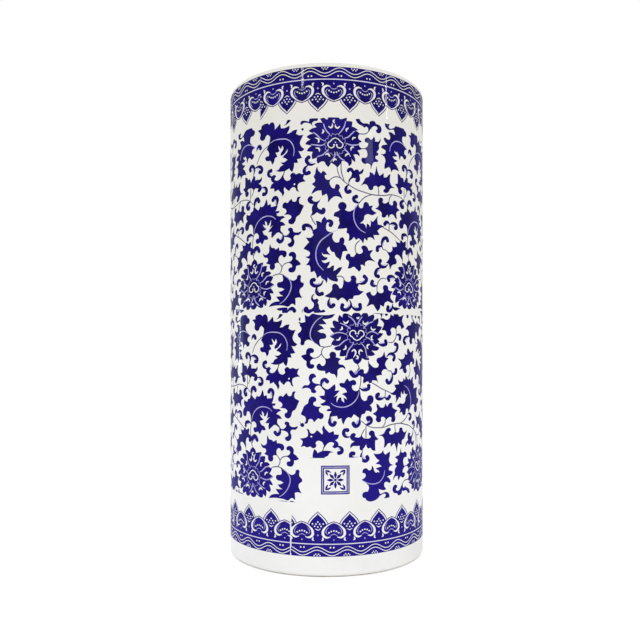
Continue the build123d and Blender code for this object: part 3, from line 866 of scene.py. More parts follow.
def lotus(edge, lines, commas, middle):
    """A lotus head: pointed petals with pale lines and commas, a scalloped ring and a curled middle."""
    marks = [(BLUE, smooth(edge, closed=True, swell=LOTUS_SWELL))]
    marks += [(WASH, brush(line, PETAL_LINE_WIDTHS)) for line in lines]
    marks += [(BARE, brush(comma, PETAL_COMMA_WIDTHS, step=0.5)) for comma in commas]
    for k in range(SCALLOPS):
        angle = 2 * math.pi * k / SCALLOPS
        loop = []
        for share in (-1, -0.5, 0, 0.5, 1):
            radius = SCALLOP_RADIUS + SCALLOP_REACH * math.cos(share * math.pi / 2)
            loop.append(round_about(middle, angle + share * math.pi / SCALLOPS, radius))
        marks.append((WASH, brush(loop, SCALLOP_WIDTHS, step=0.6)))
    for side in (-1, 1):
        line = [(middle[0] + side * x, middle[1] + y) for x, y in LOTUS_CURL]
        marks.append((BARE, brush(line, LOTUS_CURL_WIDTHS, step=0.6)))
        marks.append((BARE, spot(*line[-1], 0.8)))
    marks.append((BARE, spot(middle[0], middle[1] + 2.0, 0.6)))
    return marks


def half_sheet(leaves, veins, curls, stems, head):
    """The marks of one half of a sheet, in drawing order."""
    curled = [mark for line in curls for mark in curl(line)]
    marks = [(LINE, brush(line, STEM_WIDTHS)) for line in stems]
    marks += [mark for mark in curled if mark[0] == WASH]
    marks += [(BLUE, smooth(outline, closed=True, swell=LEAF_SWELL)) for outline in leaves.values()]
    marks += [mark for mark in curled if mark[0] == BLUE]
    marks += [(WASH, brush(line, VEIN_WIDTHS)) for line in veins]
    return marks + lotus(*head)


# The left half's places were read a little high.
LEFT_DROP = -1.0


def scroll():
    """Every mark of one printed sheet."""
    right_head = (RIGHT_LOTUS_EDGE, RIGHT_PETAL_LINES, RIGHT_PETAL_COMMAS, RIGHT_LOTUS_MIDDLE)
    left_head = (LEFT_LOTUS_EDGE, LEFT_PETAL_LINES, LEFT_PETAL_COMMAS, LEFT_LOTUS_MIDDLE)
    marks = half_sheet(RIGHT_LEAVES, RIGHT_VEINS, RIGHT_CURLS, RIGHT_STEMS, right_head)
    marks += moved(half_sheet(LEFT_LEAVES, LEFT_VEINS, LEFT_CURLS, LEFT_STEMS, left_head), up=LEFT_DROP)
    marks += [(BLUE, spot(*knob)) for knob in KNOBS]
    marks += [(BARE, spot(*hole)) for hole in PINHOLES]
    return marks


# How far a sheet leans to the right for each millimetre up, and the level that stays in place
LEAN = 0.0457
LEAN_LEVEL = 328.0


def leaning(marks):
    """Marks of a sheet that was pasted a little askew."""
    return [(ink, [(x + LEAN * (y - LEAN_LEVEL), y) for x, y in outline]) for ink, outline in marks]


# The borders, across and from the straight edge towards the field

LAPPET_PITCH = 29.2
WAVE_PITCH = 27.3
WAVE_LEVELS = (3.5, 6.4)
WAVE_RISE = 2.5
WAVE_WIDTHS = [0.65, 0.65]
CREST_DOTS = [(-1.5, 8.3), (1.5, 8.3)]
TROUGH_DOTS = [(-2.6, 1.1), (0, 1.1), (2.6, 1.1), (-1.3, 2.4), (1.3, 2.4)]
RING_LEVEL = 11.4
RING_LINES = ((0.5, WASH), (0.25, BARE))
BAND_DEPTH = 29.5
BAND_OVERRUN = 1.0

# Lappets: the right half of the edge, how far in from it each ink begins, and the marks on it and above it
LAPPET_EDGE = [(10.2, 25.0), (9.9, 29.0), (8.2, 32.8), (5.6, 36.0), (2.6, 38.8), (0, 41.2)]
LAPPET_DOTS = [
    (-2.9, 27.6), (0.0, 27.0), (2.9, 27.6), (-4.9, 29.8), (-1.7, 29.6), (1.7, 29.6), (4.9, 29.8),
    (0.0, 31.6)]
LAPPET_INSETS = ((0.0, BLUE), (0.65, BARE), (1.55, BLUE))
LAPPET_BROW = [(-2.4, 25.4), (0, 24.2), (2.4, 25.4)]
LAPPET_COMMA = [(3.2, 14.6), (4.7, 15.4), (4.4, 17.2)]

# Cloud heads: the right half of the edge, and the marks on it and above it
CLOUD_EDGE = [
    (0, 18.0), (4, 17.0), (8.5, 16.8), (11.3, 20.0), (11.0, 24.5), (8.0, 28.2), (4.2, 30.8), (0, 32.2)]
CLOUD_CRESCENT = [(3.0, 18.0), (6.5, 17.4), (9.6, 19.6), (9.7, 23.6), (7.2, 27.0), (3.8, 29.6), (0.2, 31.0)]
CLOUD_INNER = [(5.6, 20.2), (7.2, 22.0), (6.6, 24.6), (4.6, 26.8)]
CLOUD_BROW = [(-3.4, 19.0), (0, 20.4), (3.4, 19.0)]
CLOUD_DOTS = [(-4.4, 21.8), (-2.3, 23.0), (0, 23.5), (2.3, 23.0), (4.4, 21.8)]


def placed(x, line, side=1):
    """A line put to the right of a centre line, or to the left."""
    return [(x + side * across, y) for across, y in line]


def dots(x, places, radius):
    """Bare dots about a centre line."""
    return [(BARE, spot(x + across, y, radius)) for across, y in places]


def mirrored(x, edge):
    """A closed outline from its right half, about a centre line."""
    return placed(x, edge) + placed(x, edge[-2::-1], -1)


def lappet_outline(x, inset):
    """The outline of a pointed lappet, drawn in from its edge."""
    edge = [(max(across - inset, 0.0), y - 0.75 * inset) for across, y in LAPPET_EDGE]
    edge[-1] = (0.0, LAPPET_EDGE[-1][1] - 1.35 * inset)
    return mirrored(x, smooth(edge))


def lappet(x):
    """A pointed lappet with a white line inside its edge, a fan of dots, and two commas above."""
    marks = [(ink, lappet_outline(x, inset)) for inset, ink in LAPPET_INSETS]
    marks += dots(x, LAPPET_DOTS, 0.7)
    marks.append((BARE, brush(placed(x, LAPPET_BROW), [0.4, 0.8, 0.4], step=0.6)))
    marks.append((WASH, spot(x, 19.6, 0.8)))
    for side in (-1, 1):
        marks.append((BARE, brush(placed(x, LAPPET_COMMA, side), [0.3, 1.5, 1.0], step=0.4)))
    return marks


def cloud_head(x):
    """A heart-shaped cloud head between two white crescents that curl in at its top, with a row of dots."""
    marks = [(BLUE, mirrored(x, smooth(CLOUD_EDGE)))]
    for side in (-1, 1):
        crescent = placed(x, CLOUD_CRESCENT, side)
        marks.append((BARE, brush(crescent, [0.5, 1.7, 2.4, 2.1, 1.2, 0.8, 0.6])))
        marks.append((WASH, brush(placed(x, CLOUD_INNER, side), [0.3, 0.7, 0.6, 0.2], step=0.7)))
    marks.append((WASH, brush(placed(x, CLOUD_BROW), [0.4, 0.7, 0.4], step=0.7)))
    marks.append((WASH, spot(x, 15.3, 0.7)))
    return marks + dots(x, CLOUD_DOTS, 0.75)


def every(pitch, first, start, stop):
    """Places a pitch apart, in step with the first, from a pitch before the start to one after the stop."""
    place = first - pitch * math.ceil((first - start) / pitch + 1)
    places = []
    while place < stop + pitch:
        places.append(place)
        place += pitch
    return places


def rectangle(start, stop, low, high):
    """The outline of a straight piece of the unrolled face."""
    return [(start, low), (stop, low), (stop, high), (start, high)]


def band(start, stop, low, high):
    """A straight band's outline, run a little past both ends."""
    return rectangle(start - BAND_OVERRUN, stop + BAND_OVERRUN, low, high)


def border(start, stop, tip, crest):
    """Every mark of a border strip, with a lappet's tip and a wave's crest at given places."""
    marks = [(BLUE, band(start, stop, -BAND_OVERRUN, BAND_DEPTH))]
    tips = every(LAPPET_PITCH, tip, start, stop)
    for x in tips:
        marks += lappet(x)
    for x in tips:
        marks += cloud_head(x + LAPPET_PITCH / 2)
    marks += [(ink, band(start, stop, RING_LEVEL - half, RING_LEVEL + half)) for half, ink in RING_LINES]
    for level in WAVE_LEVELS:
        line = []
        for x in every(WAVE_PITCH / 10, crest, start, stop):
            line.append((x, level - WAVE_RISE * math.cos(2 * math.pi * (x - crest) / WAVE_PITCH)))
        marks.append((BARE, brush(line, WAVE_WIDTHS, step=1.4)))
    for x in every(WAVE_PITCH, crest, start, stop):
        marks += dots(x, CREST_DOTS, 0.75) + dots(x + WAVE_PITCH / 2, TROUGH_DOTS, 0.6)
    return marks


# Printed pieces

def winding(points, outline):
    """How many times an outline goes round each point."""
    x, y = points[:, :1], points[:, 1:]
    start = np.array(outline)
    run = np.roll(start, -1, axis=0) - start
    side = run[:, 0] * (y - start[:, 1]) - run[:, 1] * (x - start[:, 0])
    above_start = y >= start[:, 1]
    above_end = y >= start[:, 1] + run[:, 1]
    rising = above_start & ~above_end & (side > 0)
    falling = ~above_start & above_end & (side < 0)
    return rising.sum(axis=1) - falling.sum(axis=1)


def box_of(outline):
    """The lowest and highest corner of an outline."""
    corners = np.array(outline)
    return corners.min(axis=0), corners.max(axis=0)


def counter_clockwise(corners, triangles):
    """The triangles, all turned to run counter-clockwise on the unrolled face."""
    a, b, c = (corners[triangles[:, k]] for k in range(3))
    turn = (b - a)[:, 0] * (c - a)[:, 1] - (b - a)[:, 1] * (c - a)[:, 0]
    return np.where((turn < 0)[:, None], triangles[:, ::-1], triangles)


def well_inside(points, outline, clear):
    """Which points lie inside an outline, clear of its edge on every side."""
    kept = np.ones(len(points), bool)
    for x, y in CORNERS:
        kept &= winding(points + (x * clear, y * clear), outline) != 0
    return kept


def snapped(corners, outline):
    """Corners put exactly on the straight sides of an outline that they all but touch."""
    for k in (0, 1):
        for value in {point[k] for point in outline}:
            corners[abs(corners[:, k] - value) < SNAP, k] = value
    return corners


def triangles_within(outline, points, edges):
    """Triangles that keep the edges and fill the outline, with the corner that each point became."""
    middle = np.mean(box_of(outline), axis=0)
    made = delaunay_2d_cdt([Vector(p) for p in (np.array(points) - middle).tolist()], edges, [], 0, MERGE)
    corners = snapped(np.array([corner.to_tuple() for corner in made[0]]) + middle, outline)
    corners, merged = np.unique(np.round(corners, 4), axis=0, return_inverse=True)
    merged = merged.ravel()
    triangles = merged[np.array(made[2])]
    triangles = triangles[(triangles != np.roll(triangles, 1, axis=1)).all(axis=1)]
    triangles = triangles[well_inside(corners[triangles].mean(axis=1), outline, SLIVER)]
    used, triangles = np.unique(triangles, return_inverse=True)
    places = {corner: i for i, corner in enumerate(used)}
    found = {}
    for corner, sources in zip(merged, made[3]):
        found.update({point: places.get(corner) for point in sources})
    return corners[used], counter_clockwise(corners[used], triangles.reshape(-1, 3)), found


def grid_within(outline, pitch):
    """Points on an even grid, those inside an outline and clear of its edge."""
    low, high = box_of(outline)
    columns, rows = np.ceil((high - low) / pitch).astype(int) + 1
    across, up = np.meshgrid(np.linspace(low[0], high[0], columns), np.linspace(low[1], high[1], rows))
    points = np.column_stack([across.ravel(), up.ravel()])
    return [tuple(p) for p in points[well_inside(points, outline, EDGE_CLEAR)].tolist()]


def stepped(outline, pitch):
    """An outline with points added where a side is longer than a pitch."""
    points = []
    for p, q in zip(outline, outline[1:] + outline[:1]):
        x, y = q[0] - p[0], q[1] - p[1]
        parts = max(1, math.ceil(math.dist(p, q) / pitch))
        points += [(p[0] + x * k / parts, p[1] + y * k / parts) for k in range(parts)]
    return points


def print_face(outline, marks):
    """The triangles of a printed face, and the ink of each."""
    low, high = box_of(outline)
    near = []
    for ink, shape in marks:
        shape_low, shape_high = box_of(shape)
        if (shape_low < high).all() and (shape_high > low).all():
            near.append((ink, shape))
    points, edges = [], []
    for shape in [outline] + [shape for _, shape in near]:
        first = len(points)
        points += stepped(shape, GRID)
        edges += [(i, i + 1) for i in range(first, len(points) - 1)] + [(len(points) - 1, first)]
    corners, triangles, _ = triangles_within(outline, points + grid_within(outline, GRID), edges)
    middles = corners[triangles].mean(axis=1)
    inks = np.zeros(len(triangles), int)
    for ink, shape in near:
        shape_low, shape_high = box_of(shape)
        close = np.nonzero(((middles > shape_low) & (middles < shape_high)).all(axis=1))[0]
        inks[close[winding(middles[close], shape) != 0]] = ink
    return corners, triangles, inks


def edges_of_rim(triangles):
    """The edges that only one triangle has, each in the order that its triangle runs."""
    edges = np.concatenate([triangles[:, [0, 1]], triangles[:, [1, 2]], triangles[:, [2, 0]]])
    _, first, counts = np.unique(np.sort(edges, axis=1), axis=0, return_index=True, return_counts=True)
    return edges[first[counts == 1]]


def wrapped(places, radius):
    """Places on the unrolled face, put on a cylinder about the axis, in metres."""
    angles = places[:, 0] / OUTER_RADIUS
    return np.column_stack([radius * np.sin(angles), -radius * np.cos(angles), places[:, 1]]) * MM


def outward(places, across, up):
    """Directions on the unrolled face, turned as the cylinder turns there."""
    angles = places[:, 0] / OUTER_RADIUS
    return np.column_stack([across * np.cos(angles), across * np.sin(angles), up])


# Slow waves of the fired face: how many go round, the length of one upwards, its start and its tilt
WAVES = [
    (9, 260.0, 0.4, 0.0045), (-14, 190.0, 2.1, 0.0045), (23, 95.0, 5.2, 0.004), (-31, 61.0, 1.3, 0.0035),
    (44, 47.0, 3.7, 0.003), (-57, 33.0, 0.9, 0.0025)]


def facing(places):
    """The direction out of the wall at each place, with the slow waves of its face."""
    angles = places[:, 0] / OUTER_RADIUS
    across, up = np.zeros(len(angles)), np.zeros(len(angles))
    for count, length, start, tilt in WAVES:
        wave = tilt * np.cos(count * angles + 2 * math.pi * places[:, 1] / length + start)
        run, rise = unit(count / OUTER_RADIUS, 2 * math.pi / length)
        across += wave * run
        up += wave * rise
    out = np.column_stack([np.sin(angles), -np.cos(angles), np.zeros(len(angles))])
    return out + outward(places, across, up)


def back_of(outline, front, triangles):
    """The back of a sheet with the same rim, its triangles, and the side faces from the front to it."""
    rim = edges_of_rim(triangles)
    rim_corners, rim_edges = np.unique(rim, return_inverse=True)
    rim_edges = rim_edges.reshape(-1, 2)
    points = [tuple(p) for p in front[rim_corners].tolist()] + grid_within(outline, BACK_GRID)
    back, back_triangles, found = triangles_within(outline, points, rim_edges.tolist())
    back_rim = np.array([found[i] for i in range(len(rim_corners))])
    sides = np.column_stack([rim[:, ::-1], back_rim[rim_edges] + len(front)])
    return back, back_triangles[:, ::-1], sides


def ways_out(front, sides):
    """The way out of the sheet at each corner of its side faces, on the unrolled face."""
    runs = front[sides[:, 0]] - front[sides[:, 1]]
    ways = np.column_stack([runs[:, 1], -runs[:, 0]])
    ways /= np.linalg.norm(ways, axis=1)[:, None]
    return np.repeat(ways, 4, axis=0)


# How a printed piece's map is shared out, in parts of its side
MAP_MARGIN = 0.02
MAP_FACE = 0.90
MAP_EDGE = 0.012
MAP_BACK = (0.955, 0.99)


def map_of(outline, front_places, back_places, side_places, ways):
    """Where each face's corners lie on the map: the front large, its sides round it, the back above."""
    low, high = box_of(outline)
    front, back, sides = (
        MAP_MARGIN + MAP_FACE * (places - low) / (high - low)
        for places in (front_places, back_places, side_places)
    )
    back[:, 1] = np.interp(back_places[:, 1], (low[1], high[1]), MAP_BACK)
    for corner in (2, 3):
        sides[corner::4] += MAP_EDGE * ways[corner::4]
    return np.concatenate([front, back, sides])


def printed_piece(node, outline, marks):
    """A thin curved sheet whose outer face is parted into inks and whose back is plain."""
    front, triangles, inks = print_face(outline, marks)
    back, back_triangles, sides = back_of(outline, front, triangles)
    faces = triangles.tolist() + (back_triangles + len(front)).tolist() + sides.tolist()
    vertices = np.concatenate([wrapped(front, OUTER_RADIUS), wrapped(back, TRANSFER_BACK)])
    mesh = bpy.data.meshes.new(node)
    mesh.from_pydata(vertices.tolist(), [], faces)
    for material in INKS:
        mesh.materials.append(material)
    slots = np.zeros(len(faces), np.int32)
    slots[:len(inks)] = inks
    mesh.polygons.foreach_set("material_index", slots)

    front_places = front[triangles.ravel()]
    back_places = back[back_triangles.ravel()]
    side_places = np.concatenate([front, back])[sides.ravel()]
    ways = ways_out(front, sides)
    layer = mesh.uv_layers.new(name="OFBake")
    places = map_of(outline, front_places, back_places, side_places, ways)
    layer.uv.foreach_set("vector", places.astype(np.float32).ravel())
    side_ways = outward(side_places, ways[:, 0], ways[:, 1])
    normals = np.concatenate([facing(front_places), -facing(back_places), side_ways])
    mesh.normals_split_custom_set(normals.tolist())
    settle(node, mesh)


def settle(node, mesh):
    """Puts a mesh in the scene for a CAD node."""
    piece = bpy.data.objects.new(f"{node}_piece", mesh)
    bpy.context.scene.collection.objects.link(piece)
    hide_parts(node)
    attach(piece, "root")


# The print's places were read from a level a little below the foot's face.
PRINT_RISE = 1.6


def scroll_over(marks, across, up, turned=False):
    """The sheet's marks at its repeats to both sides of a place."""
    found = []
    for repeat in range(-2, 3):
        found += moved(marks, across + repeat * SCROLL_REPEAT, up + PRINT_RISE, turned)
    return found


TIP_OVERRUN = 6.0


def over_joint(marks, joint, way):
    """The marks whose tips run a little way over a joint, to the right of it or to the left."""
    found = []
    for ink, outline in marks:
        low, high = (edge[0] for edge in box_of(outline))
        tip = high - joint if way > 0 else joint - low
        if low < joint < high and tip < TIP_OVERRUN:
            found.append((ink, outline))
    return found


def joined(sheets, joint):
    """Each sheet's marks, with the tips that run onto it from the sheets at its left and right."""
    whole = []
    for i, marks in enumerate(sheets):
        left, right = joint + i * SHEET_WIDTH, joint + (i + 1) * SHEET_WIDTH
        round_left = GIRTH if i == 0 else 0.0
        round_right = GIRTH if i == SHEETS - 1 else 0.0
        tips = moved(over_joint(sheets[i - 1], left + round_left, 1), across=-round_left)
        tips += moved(over_joint(sheets[(i + 1) % SHEETS], right - round_right, -1), across=round_right)
        whole.append(tips + marks)
    return whole


# How far the leaning sheet's print is shifted across and up
UPPER_SHEET_4 = (GIRTH + 2.5, -1.0)


def upper_sheets():
    """The upper tier, each sheet with the same print, the left one pasted a little askew."""
    marks = scroll()
    sheets = [scroll_over(marks, i * SHEET_WIDTH, 0.0) for i in range(SHEETS - 1)]
    sheets.append(scroll_over(leaning(marks), *UPPER_SHEET_4))
    for i, printed in enumerate(joined(sheets, UPPER_TIER_JOINT)):
        start = UPPER_TIER_JOINT + i * SHEET_WIDTH
        printed_piece(f"upper_sheet_{i + 1}", rectangle(start, start + SHEET_WIDTH, *UPPER_TIER), printed)


# How far the print is shifted on the lower tier, on its left sheet and on the turned sheet, across or up,
# and the bare edge along the foot of the upright sheets
LOWER_DROP = -178.5
LOWER_SHEET_4 = GIRTH - 1.5
TURNED = (-47.5, 483.6)
BARE_EDGE = 1.1


def lower_sheets():
    """The lower tier, the front sheet turned upside down with the plain panel cut out of it.

    Gives the marks of the left sheet whose tips run onto the panel.
    """
    marks = scroll()
    low, high = LOWER_TIER
    shifts = (SHEET_WIDTH, 2 * SHEET_WIDTH, LOWER_SHEET_4)
    sheets = [scroll_over(marks, *TURNED, turned=True)]
    sheets += [scroll_over(marks, shift, LOWER_DROP) for shift in shifts]
    for i, printed in enumerate(joined(sheets, LOWER_TIER_JOINT)):
        start = LOWER_TIER_JOINT + i * SHEET_WIDTH
        stop = start + SHEET_WIDTH
        outline = rectangle(start, stop, low, high)
        if i == 0:
            inner = start + PANEL_WIDTH
            outline = rectangle(inner, stop, low, high)[:3]
            outline += [(start, high), (start, PANEL_TOP), (inner, PANEL_TOP)]
        else:
            printed.append((BARE, band(start, stop, low - BAND_OVERRUN, low + BARE_EDGE)))
        printed_piece(f"lower_sheet_{i + 1}", outline, printed)
    return over_joint(sheets[-1], LOWER_TIER_JOINT + GIRTH, 1)


def flipped(marks, edge, way):
    """Border marks put on the wall from the level of their straight edge, upwards or downwards."""
    return [(ink, [(x, edge + way * y) for x, y in outline]) for ink, outline in marks]


# For each strip, a place of a lappet's tip and of a wave's crest
UPPER_BORDER_PLACES = [(-8.0, 12.0), (-87.5 + GIRTH, -88.0 + GIRTH)]
LOWER_BORDER_PLACES = [(-8.0, 5.0), (-54.0 + GIRTH, -70.0 + GIRTH)]

# The lower border's first end, torn a little short of the joint
TORN_END = [
    (-1.0, -1.0), (0.9, -1.0), (0.5, 5.0), (1.3, 11.0), (0.7, 18.0), (1.5, 24.0), (0.9, 30.0),
    (1.6, 36.0), (1.0, 43.0), (-1.0, 43.0)]


def border_strips(name, joint, tier, places, edge, way, end=()):
    """The strips of one border, their lappets pointing into the field, and the bare end of the first."""
    for i, (tip, crest) in enumerate(places):
        start = joint + i * STRIP_LENGTH
        stop = start + STRIP_LENGTH
        marks = border(start, stop, tip, crest)
        if end and i == 0:
            marks.append((BARE, smooth(placed(start, end), closed=True)))
        printed_piece(f"{name}_{i + 1}", rectangle(start, stop, *tier), flipped(marks, edge, way))


def borders():
    """Both borders, the upper one hanging below the lip and the lower one standing on the foot band."""
    border_strips("upper_border_strip", UPPER_BORDER_JOINT, UPPER_BORDER, UPPER_BORDER_PLACES,
                  edge=UPPER_BORDER[1], way=-1)
    border_strips("lower_border_strip", LOWER_BORDER_JOINT, LOWER_BORDER, LOWER_BORDER_PLACES,
                  edge=LOWER_BORDER[0], way=1, end=TORN_END)


# The square printed in the plain panel: its middle, and half the width of each line with the ink inside it
SQUARE_MIDDLE = (8.0, 87.0 + PRINT_RISE)
SQUARE_LINES = ((13.1, BLUE), (12.1, WASH), (11.2, BLUE), (10.2, BARE))

# Its rosette: the petals' radii and widths, and a corner leaf's turns from the diagonal, radii and widths
ROSETTE_PETALS = 8
PETAL_RADII = (2.0, 4.4, 7.0)
PETAL_WIDTHS = [1.0, 2.9, 1.2]
CORNER_LEAF = ((0.22, 8.2), (0.12, 10.2), (0, 12.4))
CORNER_LEAF_WIDTHS = [0.8, 2.0, 0.9]
ROSETTE_EYE = 1.3


def front_panel(tips):
    """The plain panel, with a double-lined square round a rosette and the tips of the sheet at its left."""
    marks = moved(tips, across=-GIRTH)
    x, y = SQUARE_MIDDLE
    for half, ink in SQUARE_LINES:
        marks.append((ink, rectangle(x - half, x + half, y - half, y + half)))
    marks += rosette(SQUARE_MIDDLE)
    start = LOWER_TIER_JOINT
    outline = rectangle(start, start + PANEL_WIDTH, LOWER_TIER[0], PANEL_TOP)
    printed_piece("front_panel", outline, marks)


def rosette(middle):
    """A flower of plain petals, with a pair of small leaves in each corner of its square."""
    marks = []
    for k in range(ROSETTE_PETALS):
        angle = 2 * math.pi * k / ROSETTE_PETALS
        petal = [round_about(middle, angle, radius) for radius in PETAL_RADII]
        marks.append((BLUE, brush(petal, PETAL_WIDTHS, step=0.5)))
    marks.append((BLUE, spot(*middle, ROSETTE_EYE)))
    for k in range(4):
        for side in (-1, 1):
            angle = math.radians(45 + 90 * k)
            leaf = [round_about(middle, angle + side * turn, radius) for turn, radius in CORNER_LEAF]
            marks.append((BLUE, brush(leaf, CORNER_LEAF_WIDTHS, step=0.5)))
    return marks


# Turned pieces

def arc(middle, radius, start, stop, steps=ROUND_STEPS):
    """Points on a circle from one angle to another, in degrees."""
    angles = [math.radians(start + (stop - start) * k / steps) for k in range(steps + 1)]
    return [round_about(middle, a, radius) for a in angles]


def turned_mesh(name, profile):
    """A mesh turned about the axis from a profile of radius and height, closed on the axis or on itself."""
    vertices, rings = [], []
    for radius, height in profile:
        count = TURN_STEPS if radius > 0 else 1
        rings.append([len(vertices) + k % count for k in range(TURN_STEPS + 1)])
        for k in range(count):
            angle = 2 * math.pi * k / TURN_STEPS
            vertices.append((radius * math.sin(angle) * MM, -radius * math.cos(angle) * MM, height * MM))
    faces = []
    pairs = list(zip(rings, rings[1:]))
    if profile[0][0] > 0:
        pairs.append((rings[-1], rings[0]))
    for ring, above in pairs:
        for k in range(TURN_STEPS):
            corners = (ring[k], ring[k + 1], above[k + 1], above[k])
            faces.append(tuple(dict.fromkeys(corners)))
    mesh = bpy.data.meshes.new(name)
    mesh.from_pydata(vertices, [], faces)
    mesh.shade_smooth()
    mesh.set_sharp_from_angle(angle=math.radians(SHARP_EDGE))
    return mesh


def seat(low, high):
    """The profile of a seat for transfers, on the way up the wall."""
    inside = OUTER_RADIUS - SEAT_DEPTH
    return [(OUTER_RADIUS, low), (inside, low), (inside, high), (OUTER_RADIUS, high)]


# The level up to which the foot is wiped clean of glaze
BARE_FOOT = 1.0


def wall():
    """The open tube, with its rounded lip and foot and its seats, bare clay where it stands."""
    ledge = BORE_RADIUS - FOOT_LEDGE
    profile = arc((OUTER_RADIUS - FOOT_OUTER_ROUND, FOOT_OUTER_ROUND), FOOT_OUTER_ROUND, -90, 0)
    profile += seat(*LOWER_BORDER) + seat(LOWER_TIER[0], UPPER_TIER[1]) + seat(*UPPER_BORDER)
    profile += arc((OUTER_RADIUS - LIP_ROUND, HEIGHT - LIP_ROUND), LIP_ROUND, 0, 90)
    profile += arc((BORE_RADIUS + LIP_ROUND, HEIGHT - LIP_ROUND), LIP_ROUND, 90, 180)
    profile += [(BORE_RADIUS, FLOOR_BOTTOM), (ledge, FLOOR_BOTTOM)]
    inner_middle = (ledge + FOOT_INNER_ROUND, FOOT_INNER_ROUND)
    profile += arc(inner_middle, FOOT_INNER_ROUND, 180, 270, SMALL_ROUND_STEPS)
    mesh = turned_mesh("cylinder_wall", stepped(profile, WALL_STEP))
    mesh.materials.append(PORCELAIN)
    mesh.materials.append(BISCUIT)
    for face in mesh.polygons:
        if face.center.z < BARE_FOOT * MM:
            face.material_index = 1
    settle("cylinder_wall", mesh)


FLOOR_EDGE_ROUND = 1.5


def floor_slab():
    """The round floor, its upper edge softened where glaze ran into the corner."""
    middle = (FLOOR_RADIUS - FLOOR_EDGE_ROUND, FLOOR_TOP - FLOOR_EDGE_ROUND)
    profile = [(0.0, FLOOR_BOTTOM), (FLOOR_RADIUS * 0.5, FLOOR_BOTTOM), (FLOOR_RADIUS, FLOOR_BOTTOM)]
    profile += arc(middle, FLOOR_EDGE_ROUND, 0, 90, SMALL_ROUND_STEPS)
    profile += [(FLOOR_RADIUS * 0.5, FLOOR_TOP), (0.0, FLOOR_TOP)]
    mesh = turned_mesh("floor_slab", profile)
    mesh.materials.append(PORCELAIN)
    settle("floor_slab", mesh)


# Stage, light and camera

def seen(nodes):
    """1 for rays that show the background: those of the camera, of reflections and of clear glass."""
    names = ("Is Camera Ray", "Is Glossy Ray", "Is Transmission Ray")
    camera_ray, glossy_ray, clear_ray = (nodes.add("ShaderNodeLightPath", output=name) for name in names)
    return camera_ray.atleast(glossy_ray).atleast(clear_ray)


SKY_LIGHT = 0.76


def sky():
    """A white background, with a plain even light on the object."""
    world = bpy.data.worlds.new("studio")
    bpy.context.scene.world = world
    nodes = Nodes(world)
    strength = SKY_LIGHT + seen(nodes) * (1 - SKY_LIGHT)
    background = nodes.add("ShaderNodeBackground", None, {"Color": (1, 1, 1, 1), "Strength": strength})
    nodes.add("ShaderNodeOutputWorld", None, {"Surface": background})


GROUND_HALF = 6.0
GROUND_GLOW = 0.40


def ground():
    """A pale floor that keeps the stand's shadow and runs into the background."""
    mesh = bpy.data.meshes.new("ground")
    corners = [(x * GROUND_HALF, y * GROUND_HALF, 0.0) for x, y in CORNERS]
    mesh.from_pydata(corners, [], [(0, 1, 2, 3)])
    material = bpy.data.materials.new("pale_ground")
    nodes = Nodes(material)
    diffuse = nodes.add("ShaderNodeBsdfDiffuse", None, {"Color": colour("ECECEA")})
    glow = nodes.add("ShaderNodeEmission", None, {"Strength": seen(nodes) * GROUND_GLOW})
    surface = nodes.add("ShaderNodeAddShader", None, {0: diffuse, 1: glow})
    nodes.add("ShaderNodeOutputMaterial", None, {"Surface": surface})
    mesh.materials.append(material)
    floor = bpy.data.objects.new("ground", mesh)
    bpy.context.scene.collection.objects.link(floor)


WHITE = (1.0, 1.0, 1.0)
WARM = (1.0, 0.99, 0.97)
COOL = (0.80, 0.90, 1.0)


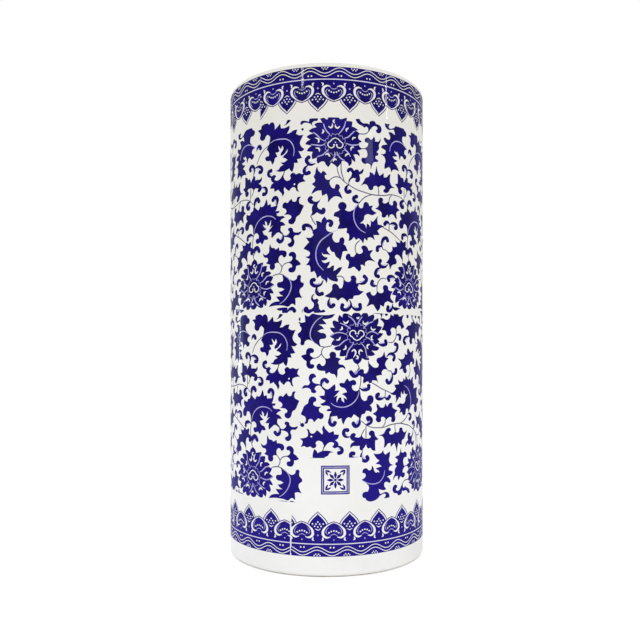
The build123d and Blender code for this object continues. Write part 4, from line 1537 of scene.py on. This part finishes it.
def lamp(name, azimuth, distance, height, size, watts, tint=WHITE, aim=0.24):
    """A soft rectangular lamp, turned to the right from the front by its azimuth and aimed at a level."""
    light = bpy.data.lights.new(name, "AREA")
    light.shape = "RECTANGLE"
    light.size, light.size_y = size
    light.energy = watts
    light.color = tint
    piece = bpy.data.objects.new(name, light)
    angle = math.radians(azimuth)
    piece.location = (distance * math.sin(angle), -distance * math.cos(angle), height)
    way = Vector((0, 0, aim)) - piece.location
    piece.rotation_euler = way.to_track_quat("-Z", "Y").to_euler()
    bpy.context.scene.collection.objects.link(piece)


def lights():
    """A tall window and two bright panes at the right, a narrow window at the left, and soft fills."""
    lamp("right_window", 47, 1.6, height=0.41, size=(0.60, 0.76), watts=0.9, tint=WARM, aim=0.3)
    lamp("right_glass", 49, 1.5, height=0.81, size=(0.20, 0.10), watts=1.2, aim=0.39)
    lamp("right_pane", 70, 1.5, height=0.98, size=(0.035, 0.17), watts=2.0, aim=0.43)
    lamp("left_window", -119, 1.4, height=0.26, size=(0.03, 0.20), watts=2.3, tint=COOL)
    lamp("small_lamp", -27, 1.5, height=1.02, size=(0.08, 0.08), watts=1.8, aim=0.45)
    lamp("left_fill", -60, 1.6, height=1.70, size=(0.80, 0.80), watts=4.2)
    lamp("front_fill", 0, 1.7, height=0.55, size=(0.90, 0.90), watts=3.2)


# Camera: its distance and height, its focal length and the place of its axis in pixels of the square frame
CAMERA_DISTANCE = 0.729
CAMERA_HEIGHT = 0.202
SENSOR = 36
FRAME = 640
FOCAL_LENGTH = 694
AXIS_RIGHT = 6.6
AXIS_BELOW = 35.0


def camera():
    """A level camera in front of the stand, a little below its middle."""
    data = bpy.data.cameras.new("camera")
    data.sensor_width = SENSOR
    data.lens = SENSOR * FOCAL_LENGTH / FRAME
    data.shift_x = -AXIS_RIGHT / FRAME
    data.shift_y = AXIS_BELOW / FRAME
    data.clip_start = 0.01
    piece = bpy.data.objects.new("camera", data)
    piece.location = (0.0, -CAMERA_DISTANCE, CAMERA_HEIGHT)
    piece.rotation_euler = (math.radians(90), 0.0, 0.0)
    bpy.context.scene.collection.objects.link(piece)
    bpy.context.scene.camera = piece


wall()
floor_slab()
borders()
front_panel(lower_sheets())
upper_sheets()
sky()
ground()
lights()
camera()
bpy.context.scene.view_settings.view_transform = "Standard"
